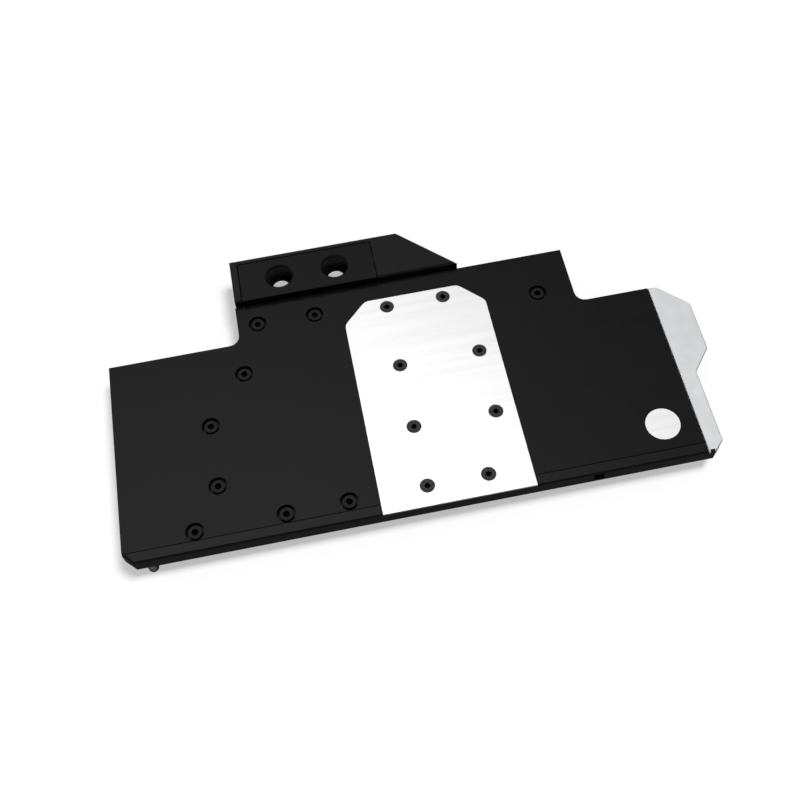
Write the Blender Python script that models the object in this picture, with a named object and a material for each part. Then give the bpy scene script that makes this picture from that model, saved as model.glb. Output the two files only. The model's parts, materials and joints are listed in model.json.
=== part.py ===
"""Full-cover water block for a graphics card, with a raised two-port terminal.

Units are metres. The origin is the centre of the graphics chip's contact face, +Z points
away from the card, +X runs to the card's far end and +Y to the side with the terminal.
"""

import math

import bmesh
import bpy
from mathutils import Matrix, Vector

MM = 0.001

# Clearances
SEAT_GAP = 0.3 * MM
SEAL_GAP = 0.15 * MM
CUT_OVER = 1.0 * MM
ARC_STEP = math.radians(22.5)
HIDDEN_ARC_STEP = math.radians(30)
HIDDEN_SEGMENTS = 12

# Heights, from the chip's contact face up
CARD_DROP = 2.4 * MM
CHIP_LAND_HEIGHT = 1.0 * MM
COLD_THICK = 4.5 * MM
TOP_THICK = 7.2 * MM
TERMINAL_RISE = 3.7 * MM

COLD_BOTTOM_Z = CHIP_LAND_HEIGHT
COLD_TOP_Z = COLD_BOTTOM_Z + COLD_THICK
TOP_BOTTOM_Z = COLD_TOP_Z + SEAT_GAP
TOP_Z = TOP_BOTTOM_Z + TOP_THICK
TOP_MIDDLE_Z = TOP_BOTTOM_Z + TOP_THICK / 2
TERMINAL_Z = TOP_Z + TERMINAL_RISE
CARD_Z = -CARD_DROP

# Outline of the black top
TOP_LEFT = -146.6 * MM
TOP_RIGHT = 100.6 * MM
TOP_FRONT = -53.7 * MM
TOP_BACK = 62.4 * MM
STEP_LEFT_X = -86.9 * MM
STEP_LEFT_Y = 42.3 * MM
STEP_RIGHT_X = 67.6 * MM
STEP_RIGHT_Y = 32.4 * MM
STEP_FILLET = 4.6 * MM
CORNER_CUT = 4.5 * MM
EDGE_BREAK = 0.25 * MM
FRONT_CHAMFER = 0.7 * MM

# Lowered strip along the front of the top
STRIP_WIDTH = 4.9 * MM
STRIP_STEP = 0.15 * MM
STRIP_FALL = 0.35 * MM
STRIP_GROOVE_WIDTH = 0.5 * MM
STRIP_GROOVE_DEPTH = 0.4 * MM

# Pocket in the front wall
FRONT_POCKET_X = 53.6 * MM
FRONT_POCKET_WIDTH = 4.4 * MM
FRONT_POCKET_HEIGHT = 4.6 * MM
FRONT_POCKET_DEPTH = 3.0 * MM

# End plate and the shelf that carries it
END_THICK = 1.2 * MM
END_DROP = 0.5 * MM
END_REACH = 7.8 * MM
END_NOSE_REACH = 16.5 * MM
END_NOSE_FRONT = -4.0 * MM
END_NOSE_BACK = 20.5 * MM
END_NECK_BACK = -14.6 * MM
END_SHOULDER_REACH = 4.3 * MM
END_NOSE_ROUND = 2.5 * MM
END_BEVEL = 0.35 * MM
SHELF_INSET = 1.0 * MM
TAB_OFFSET = 1.4 * MM
TAB_WIDTH = 1.4 * MM
TAB_DEPTH = 0.9 * MM

# Steel cover plate
COVER_LEFT = -38.5 * MM
COVER_RIGHT = 26.9 * MM
COVER_BACK = 52.9 * MM
COVER_CORNER = 10.9 * MM
COVER_ROUND = 4.0 * MM
COVER_THICK = 1.0 * MM
COVER_FRONT_INSET = 0.1 * MM

# Badge disc
BADGE_RADIUS = 7.5 * MM
BADGE_THICK = 0.8 * MM
BADGE_PROUD = 0.1 * MM
BADGE_BREAK = 0.2 * MM
BADGE_FROM_RIGHT = 14.6 * MM
BADGE_FROM_FRONT = 16.8 * MM

# Screws through the top, M3
THREAD_RADIUS = 1.5 * MM
HEAD_RADIUS = 3.0 * MM
HEAD_HEIGHT = 2.0 * MM
HEAD_SUNK = 0.3 * MM
HEAD_BREAK = 0.2 * MM
HEAD_WELL_RADIUS = 4.1 * MM
SOCKET_ACROSS = 2.5 * MM
SOCKET_DEPTH = 1.2 * MM
TOP_SCREW_LENGTH = 8.0 * MM
COVER_SCREW_LENGTH = 10.0 * MM
COUNTERSINK_HEIGHT = 1.5 * MM
SCREW_SEGMENTS = 16
WELL_SEGMENTS = 24
TIP_ROOM = 0.5 * MM
TOP_SCREWS = [
    (-77.7 * MM, 51.4 * MM),
    (-51.3 * MM, 50.9 * MM),
    (-86.9 * MM, 26.2 * MM),
    (-104.3 * MM, 2.8 * MM),
    (-104.3 * MM, -26.3 * MM),
    (-115.9 * MM, -45.1 * MM),
    (-77.7 * MM, -44.8 * MM),
    (-51.2 * MM, -44.7 * MM),
    (51.1 * MM, 40.7 * MM),
]
CHIP_SCREW_X = 18.05 * MM
CHIP_SCREW_Y = 15.8 * MM
COVER_SCREW_RIGHT_X = 8.15 * MM
COVER_SCREW_BACK_Y = 48.0 * MM
COVER_SCREW_FRONT_Y = -44.4 * MM

# Cold plate
COLD_LEFT = -121.0 * MM
COLD_RIGHT = 58.0 * MM
COLD_INSET = 1.0 * MM
COLD_FRONT_INSET = 4.0 * MM
COLD_ROUND = 3.0 * MM
CHIP_LAND = 34.0 * MM
CHIP_LAND_ROUND = 2.0 * MM
MEMORY_LAND_LENGTH = 48.0 * MM
MEMORY_LAND_WIDTH = 12.0 * MM
MEMORY_LAND_OFFSET = 36.0 * MM
MEMORY_LAND_HEIGHT = 1.3 * MM
POWER_LAND_HEIGHT = 1.4 * MM
POWER_LAND_WIDTH = 10.0 * MM
POWER_LAND_FRONT = -38.0 * MM
POWER_LAND_BACK = 34.0 * MM
POWER_LAND_X = (-75.0 * MM, -48.5 * MM)
CHOKE_POCKET_X = -61.5 * MM
CHOKE_POCKET_WIDTH = 12.0 * MM
CHOKE_POCKET_DEPTH = 1.1 * MM

# Fin field under the jet plate
FIN_HALF_X = 12.3 * MM
FIN_HALF_Y = 18.5 * MM
FIN_HEIGHT = 2.0 * MM
FIN_PITCH = 1.0 * MM
FIN_GAP = 0.5 * MM
JET_THICK = 0.6 * MM
JET_HALF_Y = 8.9 * MM
JET_SLIT_WIDTH = 1.6 * MM
JET_SLIT_INSET = 0.5 * MM

# Coolant channels in the underside of the top
CHANNEL_ROOF = 2.9 * MM
CHANNEL_WALL = 1.7 * MM
CHANNEL_ROUND = 1.6 * MM
RISER_WIDTH = 10.0 * MM
RISER_FROM_BACK = 4.9 * MM
INLET_FRONT = 1.6 * MM
INLET_BACK = 8.0 * MM
PLENUM_LEFT = -9.5 * MM
PLENUM_RIGHT = 7.0 * MM
PLENUM_HALF_Y = 3.5 * MM
OUTLET_FRONT = -10.3 * MM
DOWN_LEFT = -42.0 * MM
DOWN_RIGHT = -28.0 * MM
LANE_WIDTH = 11.0 * MM
LANE_WALL = 2.0 * MM
LANE_LEFT = -96.0 * MM
LANE_FRONT = -38.0 * MM

# Main gasket in its groove in the underside of the top
GASKET_RADIUS = 0.65 * MM
GASKET_MARGIN = 2.1 * MM
GASKET_ROUND = 2.6 * MM
GROOVE_SIDE_ROOM = 0.3 * MM
GASKET_LOOP_DEPTH = 11.5 * MM

# Terminal block
BLOCK_LENGTH = 63.2 * MM
PORT_SHARE = 0.41456  # of the block's length, between the two port axes
PORT_PITCH = BLOCK_LENGTH * PORT_SHARE
PORT_MIDDLE_X = -51.25 * MM
PORT_FROM_BACK_OF_TOP = 11.0 * MM
PORT_RADIUS = 5.72 * MM
PORT_MOUTH_RADIUS = 6.58 * MM
PORT_SEGMENTS = 32
BLOCK_DEPTH = 21.1 * MM
BLOCK_BREAK = 0.2 * MM
SLOT_SHARE = 0.2057  # of the block's length, along each port's slot
SLOT_LENGTH = BLOCK_LENGTH * SLOT_SHARE
SLOT_HEIGHT = 3.0 * MM
SLOT_RUN = 12.0 * MM
PORT_GASKET_RADIUS = 0.5 * MM
PORT_GROOVE_OFFSET = 1.1 * MM
PORT_GROOVE_SIDE_ROOM = 0.15 * MM
TERMINAL_SCREW_FROM_END = 4.6 * MM
TERMINAL_SCREW_PITCH = BLOCK_LENGTH / 2 - TERMINAL_SCREW_FROM_END
TERMINAL_SCREW_LENGTH = 23.0 * MM
TERMINAL_WELL_RADIUS = 3.4 * MM
TERMINAL_WELL_DEPTH = 3.0 * MM

# Terminal cover with its wing
COVER_SEAM = 0.35 * MM
WALL_LEFT = 3.2 * MM
WALL_BACK = 1.9 * MM
WING_LENGTH = 37.4 * MM
WING_FRONT_GAP = 0.1 * MM
WING_SLANT = 24.3 * MM
WING_EDGE_BREAK = 0.75 * MM
WING_SKIN = 2.0 * MM
COVER_EDGE_BREAK = 0.2 * MM
MAGNET_RADIUS = 2.5 * MM
MAGNET_THICK = 1.5 * MM
MAGNET_POCKET_RADIUS = 2.8 * MM
MAGNET_FROM_EDGE = 7.0 * MM
MAGNET_BOSS = 6.5 * MM

# Standoffs for the card
STANDOFF_RADIUS = 2.2 * MM
STANDOFF_STUD_RADIUS = 1.45 * MM
STANDOFF_STUD_LENGTH = 2.7 * MM
STANDOFF_BORE_RADIUS = 1.05 * MM
STANDOFF_BORE_DEPTH = 2.2 * MM
CHIP_STANDOFF_OFFSET = 29.2 * MM
CARD_STANDOFFS = [(-98.0 * MM, 35.5 * MM), (48.0 * MM, -42.5 * MM), (50.5 * MM, 54.0 * MM)]
CORNER_FROM_LEFT = 9.8 * MM
CORNER_FROM_RIGHT = 6.6 * MM
CORNER_FROM_FRONT = 3.1 * MM
CORNER_FROM_STEP = 7.8 * MM


def clear_scene():
    for thing in list(bpy.data.objects):
        bpy.data.objects.remove(thing, do_unlink=True)


def finish(name, color, roughness, metallic):
    """A Principled material in linear RGB."""
    material = bpy.data.materials.new(name)
    material.use_nodes = True
    shader = material.node_tree.nodes["Principled BSDF"]
    shader.inputs["Base Color"].default_value = (*color, 1.0)
    shader.inputs["Roughness"].default_value = roughness
    shader.inputs["Metallic"].default_value = metallic
    material.diffuse_color = (*color, 1.0)
    return material


def add_object(name, mesh, material=None, location=(0, 0, 0)):
    thing = bpy.data.objects.new(name, mesh)
    thing.location = location
    if material and not mesh.materials:
        mesh.materials.append(material)
    bpy.context.scene.collection.objects.link(thing)
    return thing


def to_mesh(name, shape):
    """Turns a bmesh into a mesh with its faces pointing out."""
    bmesh.ops.recalc_face_normals(shape, faces=shape.faces)
    if shape.calc_volume(signed=True) < 0:
        bmesh.ops.reverse_faces(shape, faces=shape.faces)
    mesh = bpy.data.meshes.new(name)
    shape.to_mesh(mesh)
    shape.free()
    return mesh


def rounded(corners, arc_step=ARC_STEP):
    """Closed outline from (x, y, radius) corners, with an arc at each corner that has a radius."""
    points = []
    for index, (x, y, radius) in enumerate(corners):
        corner = Vector((x, y))
        if radius == 0:
            points.append(corner)
            continue
        before = (Vector(corners[index - 1][:2]) - corner).normalized()
        after = (Vector(corners[(index + 1) % len(corners)][:2]) - corner).normalized()
        half = before.angle(after) / 2
        centre = corner + (before + after).normalized() * (radius / math.sin(half))
        start = corner + before * (radius / math.tan(half)) - centre
        turn = math.copysign(math.pi - 2 * half, after.cross(before))
        steps = max(2, math.ceil(abs(turn) / arc_step - 0.01))
        for step in range(steps + 1):
            points.append(centre + Matrix.Rotation(turn * step / steps, 2) @ start)
    return points


def rectangle(left, front, right, back, radius=0.0):
    corners = [(left, front), (right, front), (right, back), (left, back)]
    return rounded([(x, y, radius) for x, y in corners], HIDDEN_ARC_STEP)


def prism(outline, bottom, top):
    """Straight-walled solid over an outline in plan."""
    shape = bmesh.new()
    face = shape.faces.new([shape.verts.new((x, y, bottom)) for x, y in outline])
    upper = bmesh.ops.extrude_face_region(shape, geom=[face])["geom"]
    raised = [item for item in upper if isinstance(item, bmesh.types.BMVert)]
    bmesh.ops.translate(shape, verts=raised, vec=(0, 0, top - bottom))
    return shape


def break_edges(shape, width, chosen):
    """Chamfers the edges for which chosen(edge) is true."""
    edges = [edge for edge in shape.edges if chosen(edge)]
    bmesh.ops.bevel(shape, geom=edges, offset=width, segments=1, profile=0.5, affect="EDGES")


def same(value, other):
    """Whether two coordinates are the same place."""
    return abs(value - other) < 1e-6


def level_edge(height):
    """Picks the edges that lie flat at one height."""
    return lambda edge: all(same(vert.co.z, height) for vert in edge.verts)


def turned(profile, segments):
    """Solid of revolution about Z from (radius, z) points, which start and end on the axis."""
    shape = bmesh.new()
    verts = [shape.verts.new((radius, 0, z)) for radius, z in profile]
    line = [shape.edges.new(pair) for pair in zip(verts, verts[1:])]
    bmesh.ops.spin(shape, geom=verts + line, axis=(0, 0, 1), cent=(0, 0, 0), steps=segments, angle=2 * math.pi)
    bmesh.ops.remove_doubles(shape, verts=shape.verts, dist=1e-6)
    return shape


def swept_loop(path, section):
    """Closed solid made by carrying a closed (outward, z) section round a closed path in plan."""
    shape = bmesh.new()
    stations = []
    for index, point in enumerate(path):
        ahead = (path[(index + 1) % len(path)] - point).normalized()
        behind = (point - path[index - 1]).normalized()
        along = (ahead + behind).normalized()
        outward = Vector((along.y, -along.x)) / max(along.dot(ahead), 0.5)
        stations.append([shape.verts.new((*(point + outward * reach), z)) for reach, z in section])
    for near, far in zip(stations, stations[1:] + stations[:1]):
        for side in range(len(section)):
            following = (side + 1) % len(section)
            shape.faces.new((near[side], near[following], far[following], far[side]))
    return shape


def circle_section(radius, middle, sides=6):
    """Round cord section about (0, middle)."""
    angles = [2 * math.pi * (side + 0.5) / sides for side in range(sides)]
    return [(radius * math.cos(angle), middle + radius * math.sin(angle)) for angle in angles]


def box_section(half_width, bottom, top):
    return [(-half_width, bottom), (half_width, bottom), (half_width, top), (-half_width, top)]


def placed(shape, location=(0, 0, 0), rotation=None):
    """Moves a bmesh, after turning it where a rotation is given."""
    move = Matrix.Translation(location)
    shape.transform(move @ rotation.to_4x4() if rotation else move)
    return shape


def carve(target, cutters, operation="DIFFERENCE"):
    """One live Boolean that cuts a list of bmeshes out of a solid, or joins them to it."""
    label = "cut" if operation == "DIFFERENCE" else "join"
    group = bpy.data.collections.new(f"{target.name}_{label}")
    bpy.context.scene.collection.children.link(group)
    group.hide_render = True
    for number, shape in enumerate(cutters):
        name = f"{group.name}_{number}"
        cutter = bpy.data.objects.new(name, to_mesh(name, shape))
        cutter.display_type = "WIRE"
        cutter.hide_render = True
        group.objects.link(cutter)
    boolean = target.modifiers.new(label, "BOOLEAN")
    boolean.operation = operation
    boolean.solver = "EXACT"
    boolean.operand_type = "COLLECTION"
    boolean.collection = group
    return target


def settled_mesh(thing):
    """The mesh of an object with its modifiers worked in, for copies to share."""
    graph = bpy.context.evaluated_depsgraph_get()
    return bpy.data.meshes.new_from_object(thing.evaluated_get(graph))


def smooth(thing, angle=math.radians(35)):
    thing.data.shade_smooth()
    thing.data.set_sharp_from_angle(angle=angle)
    return thing


def hexagon(across):
    radius = across / 2 / math.cos(math.pi / 6)
    angles = [side * math.pi / 3 for side in range(6)]
    return [Vector((radius * math.cos(angle), radius * math.sin(angle))) for angle in angles]


def stepped_hole(x, y, steps, segments=WELL_SEGMENTS):
    """Cutter for a vertical hole from (radius, top z) steps; the last step gives the floor height."""
    profile = [(0.0, steps[0][1])]
    for (radius, top), (_, bottom) in zip(steps, steps[1:]):
        profile += [(radius, top), (radius, bottom)]
    profile.append((0.0, steps[-1][1]))
    return placed(turned(profile, segments), (x, y, 0))


# Places shared between pieces

def cover_screw_places():
    rows = [(COVER_SCREW_BACK_Y, COVER_SCREW_RIGHT_X), (COVER_SCREW_FRONT_Y, COVER_SCREW_RIGHT_X)]
    rows += [(CHIP_SCREW_Y, CHIP_SCREW_X), (-CHIP_SCREW_Y, CHIP_SCREW_X)]
    return [(x, y) for y, right in rows for x in (-CHIP_SCREW_X, right)]


def port_places():
    y = TOP_BACK + PORT_FROM_BACK_OF_TOP
    return [(PORT_MIDDLE_X - PORT_PITCH / 2, y), (PORT_MIDDLE_X + PORT_PITCH / 2, y)]


def terminal_screw_places():
    return [PORT_MIDDLE_X + side * TERMINAL_SCREW_PITCH for side in (-1, 0, 1)]


def corner_standoff_places():
    front = TOP_FRONT + CORNER_FROM_FRONT
    return [
        (TOP_LEFT + CORNER_FROM_LEFT, front),
        (TOP_LEFT + CORNER_FROM_LEFT, STEP_LEFT_Y - CORNER_FROM_STEP),
        (TOP_RIGHT - CORNER_FROM_RIGHT, front + CORNER_FROM_STEP),
        (TOP_RIGHT - CORNER_FROM_RIGHT, STEP_RIGHT_Y - CORNER_FROM_STEP),
    ]


def chip_standoff_places():
    offset = CHIP_STANDOFF_OFFSET
    return [(x, y) for y in (-offset, offset) for x in (-offset, offset)]


SCREW_HOLE_RADIUS = THREAD_RADIUS + SEAT_GAP
STUD_HOLE_RADIUS = STANDOFF_STUD_RADIUS + SEAT_GAP
TOP_SCREW_SEAT_Z = TOP_Z - HEAD_SUNK - HEAD_HEIGHT
TOP_SCREW_TIP_Z = TOP_SCREW_SEAT_Z - TOP_SCREW_LENGTH
COVER_SCREW_TIP_Z = TOP_Z - COVER_SCREW_LENGTH
COVER_UNDER_Z = TOP_Z - COVER_THICK
END_TOP_Z = TOP_Z - END_DROP
END_UNDER_Z = END_TOP_Z - END_THICK
SHELF_Z = END_UNDER_Z - SEAT_GAP
JET_Z = COLD_TOP_Z - JET_THICK
FIN_TOP_Z = JET_Z - SEAT_GAP
BLOCK_FRONT = TOP_BACK + SEAT_GAP
BLOCK_BACK = BLOCK_FRONT + BLOCK_DEPTH
BLOCK_LEFT = PORT_MIDDLE_X - BLOCK_LENGTH / 2
BLOCK_RIGHT = PORT_MIDDLE_X + BLOCK_LENGTH / 2
CHANNEL_TOP_Z = TOP_Z - CHANNEL_ROOF
BADGE_X = TOP_RIGHT - BADGE_FROM_RIGHT
BADGE_Y = TOP_FRONT + BADGE_FROM_FRONT


def end_outline(inset, left):
    """Outline of the end plate, or of its shelf, which stands in by inset except along the front."""
    edge = TOP_RIGHT + END_REACH - inset
    nose = TOP_RIGHT + END_NOSE_REACH - inset
    shoulder = TOP_RIGHT + END_SHOULDER_REACH - inset
    back = STEP_RIGHT_Y - inset
    return [
        (left, TOP_FRONT, 0),
        (TOP_RIGHT + END_REACH - CORNER_CUT, TOP_FRONT, 0),
        (edge, TOP_FRONT + CORNER_CUT - inset, 0),
        (edge, END_NECK_BACK + inset, END_NOSE_ROUND / 2),
        (nose, END_NOSE_FRONT + inset, END_NOSE_ROUND),
        (nose, END_NOSE_BACK - inset, END_NOSE_ROUND),
        (shoulder, back, END_NOSE_ROUND / 2),
        (left, back, 0),
    ]


def tab_outline(room):
    """Locating tab at the front of the shelf, or its notch in the end plate when room is positive."""
    left = TOP_RIGHT + TAB_OFFSET
    return rectangle(left - room, TOP_FRONT - room, left + TAB_WIDTH + room, TOP_FRONT + TAB_DEPTH + room)


def cover_outline(room, front):
    """Outline of the steel plate, or of its pocket when room is positive."""
    left, right, back = COVER_LEFT - room, COVER_RIGHT + room, COVER_BACK + room
    cut = COVER_CORNER + room * (2 - math.sqrt(2))
    return rounded(
        [
            (left, front, 0),
            (right, front, 0),
            (right, back - cut, COVER_ROUND),
            (right - cut, back, COVER_ROUND),
            (left + cut, back, COVER_ROUND),
            (left, back - cut, COVER_ROUND),
        ]
    )


def riser_span(side):
    """Left and right of the channel that runs down from one port."""
    x = port_places()[side][0]
    return x - RISER_WIDTH / 2, x + RISER_WIDTH / 2


def inlet_outline():
    """Channel from the right port down and across to the plenum over the jet plate."""
    left, right = riser_span(1)
    back = TOP_BACK - RISER_FROM_BACK
    corners = [
        (left, INLET_FRONT),
        (PLENUM_LEFT - CHANNEL_WALL, INLET_FRONT),
        (PLENUM_LEFT - CHANNEL_WALL, -PLENUM_HALF_Y),
        (PLENUM_RIGHT, -PLENUM_HALF_Y),
        (PLENUM_RIGHT, PLENUM_HALF_Y),
        (-PLENUM_HALF_Y, PLENUM_HALF_Y),
        (-PLENUM_HALF_Y, INLET_BACK),
        (right, INLET_BACK),
        (right, back),
        (left, back),
    ]
    return rounded([(x, y, CHANNEL_ROUND) for x, y in corners], HIDDEN_ARC_STEP)


def outlet_outline():
    """Channel round the fins, down to the power stages, through three lanes and up to the left port."""
    left, right = riser_span(0)
    back = TOP_BACK - RISER_FROM_BACK
    lane = [LANE_FRONT + number * (LANE_WIDTH + LANE_WALL) for number in range(3)]
    down_wall = DOWN_LEFT - LANE_WALL
    turn = LANE_WIDTH
    plenum_wall = PLENUM_HALF_Y + CHANNEL_WALL
    over_jet = INLET_BACK + CHANNEL_WALL
    beside_plenum = PLENUM_RIGHT + CHANNEL_WALL
    neck = INLET_FRONT - CHANNEL_WALL
    fins_left = PLENUM_LEFT - 2 * CHANNEL_WALL
    corners = [
        (fins_left, -plenum_wall),
        (beside_plenum, -plenum_wall),
        (beside_plenum, over_jet),
        (-FIN_HALF_X, over_jet),
        (-FIN_HALF_X, FIN_HALF_Y),
        (FIN_HALF_X, FIN_HALF_Y),
        (FIN_HALF_X, -FIN_HALF_Y),
        (-FIN_HALF_X, -FIN_HALF_Y),
        (-FIN_HALF_X, OUTLET_FRONT),
        (DOWN_RIGHT, OUTLET_FRONT),
        (DOWN_RIGHT, LANE_FRONT),
        (LANE_LEFT, LANE_FRONT),
        (LANE_LEFT, lane[1] + LANE_WIDTH),
        (down_wall - turn, lane[1] + LANE_WIDTH),
        (down_wall - turn, lane[2]),
        (left, lane[2]),
        (left, back),
        (right, back),
        (right, neck),
        (down_wall, neck),
        (down_wall, lane[1]),
        (LANE_LEFT + turn, lane[1]),
        (LANE_LEFT + turn, lane[0] + LANE_WIDTH),
        (DOWN_LEFT, lane[0] + LANE_WIDTH),
        (DOWN_LEFT, neck),
        (fins_left, neck),
    ]
    radius = min(CHANNEL_ROUND, LANE_WALL * 0.45)
    return rounded([(x, y, radius) for x, y in corners], HIDDEN_ARC_STEP)


def gasket_path():
    """Centre line of the main gasket: the channels' outer bounds, let out by the margin."""
    margin = GASKET_MARGIN
    back = TOP_BACK - RISER_FROM_BACK + margin
    first_left, first_right = riser_span(0)
    second_left, second_right = riser_span(1)
    upper_lane = LANE_FRONT + 2 * LANE_WIDTH + LANE_WALL
    fin_x, fin_y = FIN_HALF_X + margin, FIN_HALF_Y + margin
    corners = [
        (second_right + margin, back),
        (second_left - margin, back),
        (second_left - margin, back - GASKET_LOOP_DEPTH - margin),
        (first_right + margin, back - GASKET_LOOP_DEPTH - margin),
        (first_right + margin, back),
        (first_left - margin, back),
        (first_left - margin, upper_lane + margin),
        (LANE_LEFT - margin, upper_lane + margin),
        (LANE_LEFT - margin, LANE_FRONT - margin),
        (DOWN_RIGHT + margin, LANE_FRONT - margin),
        (DOWN_RIGHT + margin, OUTLET_FRONT - margin),
        (-fin_x, OUTLET_FRONT - margin),
        (-fin_x, -fin_y),
        (fin_x, -fin_y),
        (fin_x, fin_y),
        (-fin_x, fin_y),
        (-fin_x, INLET_BACK + margin),
        (second_right + margin, INLET_BACK + margin),
    ]
    return rounded([(x, y, GASKET_ROUND) for x, y in corners], HIDDEN_ARC_STEP)


# Rotations that turn a solid's top to +Y or +X, and one that runs a (y, z) profile along X
TO_BACK = Matrix.Rotation(math.radians(-90), 3, "X")
TO_SIDE = Matrix.Rotation(math.radians(90), 3, "Y")
ALONG_FRONT = Matrix(((0, 0, 1), (1, 0, 0), (0, 1, 0)))


def slot_cutter(x, from_y, to_y, half_length=SLOT_LENGTH / 2, half_height=SLOT_HEIGHT / 2):
    """Flat round-ended passage along Y at the middle of the top's wall."""
    outline = rectangle(-half_length, -half_height, half_length, half_height, half_height * 0.98)
    shape = prism(outline, from_y, to_y)
    return placed(shape, (x, 0, TOP_MIDDLE_Z), TO_BACK)


def make_top_plate(material):
    base = rounded(
        [
            (TOP_LEFT, TOP_FRONT + CORNER_CUT, 0),
            (TOP_LEFT + CORNER_CUT, TOP_FRONT, 0),
            *end_outline(SHELF_INSET, TOP_RIGHT)[1:],
            (TOP_RIGHT, STEP_RIGHT_Y, 0),
            (STEP_RIGHT_X, STEP_RIGHT_Y, STEP_FILLET),
            (STEP_RIGHT_X, TOP_BACK, 0),
            (STEP_LEFT_X, TOP_BACK, 0),
            (STEP_LEFT_X, STEP_LEFT_Y, STEP_FILLET),
            (TOP_LEFT, STEP_LEFT_Y, 0),
        ]
    )
    shape = prism(base, TOP_BOTTOM_Z, TOP_Z)
    break_edges(shape, EDGE_BREAK, level_edge(TOP_Z))
    top = add_object("top_plate", to_mesh("top_plate", shape), material)
    carve(top, [*top_face_cuts(), *top_hole_cuts(), *top_under_cuts(), *top_edge_cuts()])
    return smooth(top)


def top_face_cuts():
    """Pocket, badge recess, lowered strip, end shelf and front pocket."""
    above = TOP_Z + CUT_OVER
    cuts = [prism(cover_outline(SEAT_GAP, TOP_FRONT - CUT_OVER), COVER_UNDER_Z - SEAT_GAP, above)]
    badge_hole = [(BADGE_RADIUS + SEAT_GAP, above), (0, TOP_Z + BADGE_PROUD - BADGE_THICK - SEAT_GAP)]
    cuts.append(stepped_hole(BADGE_X, BADGE_Y, badge_hole, PORT_SEGMENTS))

    strip_back = TOP_FRONT + STRIP_WIDTH
    strip_front = TOP_FRONT - CUT_OVER
    groove_front = strip_back - STRIP_GROOVE_WIDTH
    fall = STRIP_STEP + STRIP_FALL * (groove_front - strip_front) / (groove_front - TOP_FRONT)
    side = [
        Vector((strip_back, TOP_Z - STRIP_GROOVE_DEPTH)),
        Vector((strip_back, above)),
        Vector((strip_front, above)),
        Vector((strip_front, TOP_Z - fall)),
        Vector((groove_front, TOP_Z - STRIP_STEP)),
        Vector((groove_front, TOP_Z - STRIP_GROOVE_DEPTH)),
    ]
    strip = prism(side, TOP_LEFT - CUT_OVER, TOP_RIGHT + END_NOSE_REACH)
    cuts.append(placed(strip, rotation=ALONG_FRONT))

    nose = TOP_RIGHT + END_NOSE_REACH + CUT_OVER
    tab_left, tab_right = TOP_RIGHT + TAB_OFFSET, TOP_RIGHT + TAB_OFFSET + TAB_WIDTH
    tab_back = TOP_FRONT + TAB_DEPTH
    shelf = [
        (TOP_RIGHT, strip_front),
        (tab_left, strip_front),
        (tab_left, tab_back),
        (tab_right, tab_back),
        (tab_right, strip_front),
        (nose, strip_front),
        (nose, STEP_RIGHT_Y + CUT_OVER),
        (TOP_RIGHT, STEP_RIGHT_Y + CUT_OVER),
    ]
    cuts.append(prism([Vector(point) for point in shelf], SHELF_Z, above))

    half_width, half_height = FRONT_POCKET_WIDTH / 2, FRONT_POCKET_HEIGHT / 2
    mouth = rectangle(-half_width, -half_height, half_width, half_height)
    pocket = prism(mouth, -CUT_OVER, FRONT_POCKET_DEPTH)
    cuts.append(placed(pocket, (FRONT_POCKET_X, TOP_FRONT, TOP_MIDDLE_Z), TO_BACK))
    return cuts


def top_hole_cuts():
    """Screw holes from above, standoff holes from below and the terminal's screw holes from behind."""
    above, below = TOP_Z + CUT_OVER, TOP_BOTTOM_Z - CUT_OVER
    seat = TOP_SCREW_SEAT_Z - SEAT_GAP
    cuts = [
        stepped_hole(x, y, [(HEAD_WELL_RADIUS, above), (SCREW_HOLE_RADIUS, seat), (0, below)])
        for x, y in TOP_SCREWS
    ]
    neck = TOP_Z - COUNTERSINK_HEIGHT - SEAT_GAP
    wide = HEAD_RADIUS - COVER_THICK
    cuts += [
        stepped_hole(x, y, [(wide + SEAT_GAP, above), (SCREW_HOLE_RADIUS, neck), (0, below)], SCREW_SEGMENTS)
        for x, y in cover_screw_places()
    ]
    stud_top = TOP_BOTTOM_Z + STANDOFF_STUD_LENGTH + SEAT_GAP
    cuts += [
        stepped_hole(x, y, [(STUD_HOLE_RADIUS, stud_top), (0, below)], HIDDEN_SEGMENTS)
        for x, y in corner_standoff_places()
    ]
    tip = BLOCK_BACK - TERMINAL_WELL_DEPTH - TERMINAL_SCREW_LENGTH - TIP_ROOM
    mouth = TOP_BACK + CUT_OVER
    profile = [(0, tip), (SCREW_HOLE_RADIUS, tip), (SCREW_HOLE_RADIUS, mouth), (0, mouth)]
    for x in terminal_screw_places():
        cuts.append(placed(turned(profile, SCREW_SEGMENTS), (x, 0, TOP_MIDDLE_Z), TO_BACK))
    return cuts


def top_under_cuts():
    """Coolant channels, their inlets from the terminal and the gasket groove."""
    below = TOP_BOTTOM_Z - CUT_OVER
    cuts = [prism(outline, below, CHANNEL_TOP_Z) for outline in (inlet_outline(), outlet_outline())]
    for x, _ in port_places():
        cuts.append(slot_cutter(x, TOP_BACK - SLOT_RUN, TOP_BACK + CUT_OVER))
    groove_top = COLD_TOP_Z + 2 * GASKET_RADIUS + 2 * SEAL_GAP
    half_width = GASKET_RADIUS + GROOVE_SIDE_ROOM
    cuts.append(swept_loop(gasket_path(), box_section(half_width, below, groove_top)))
    return cuts


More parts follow.
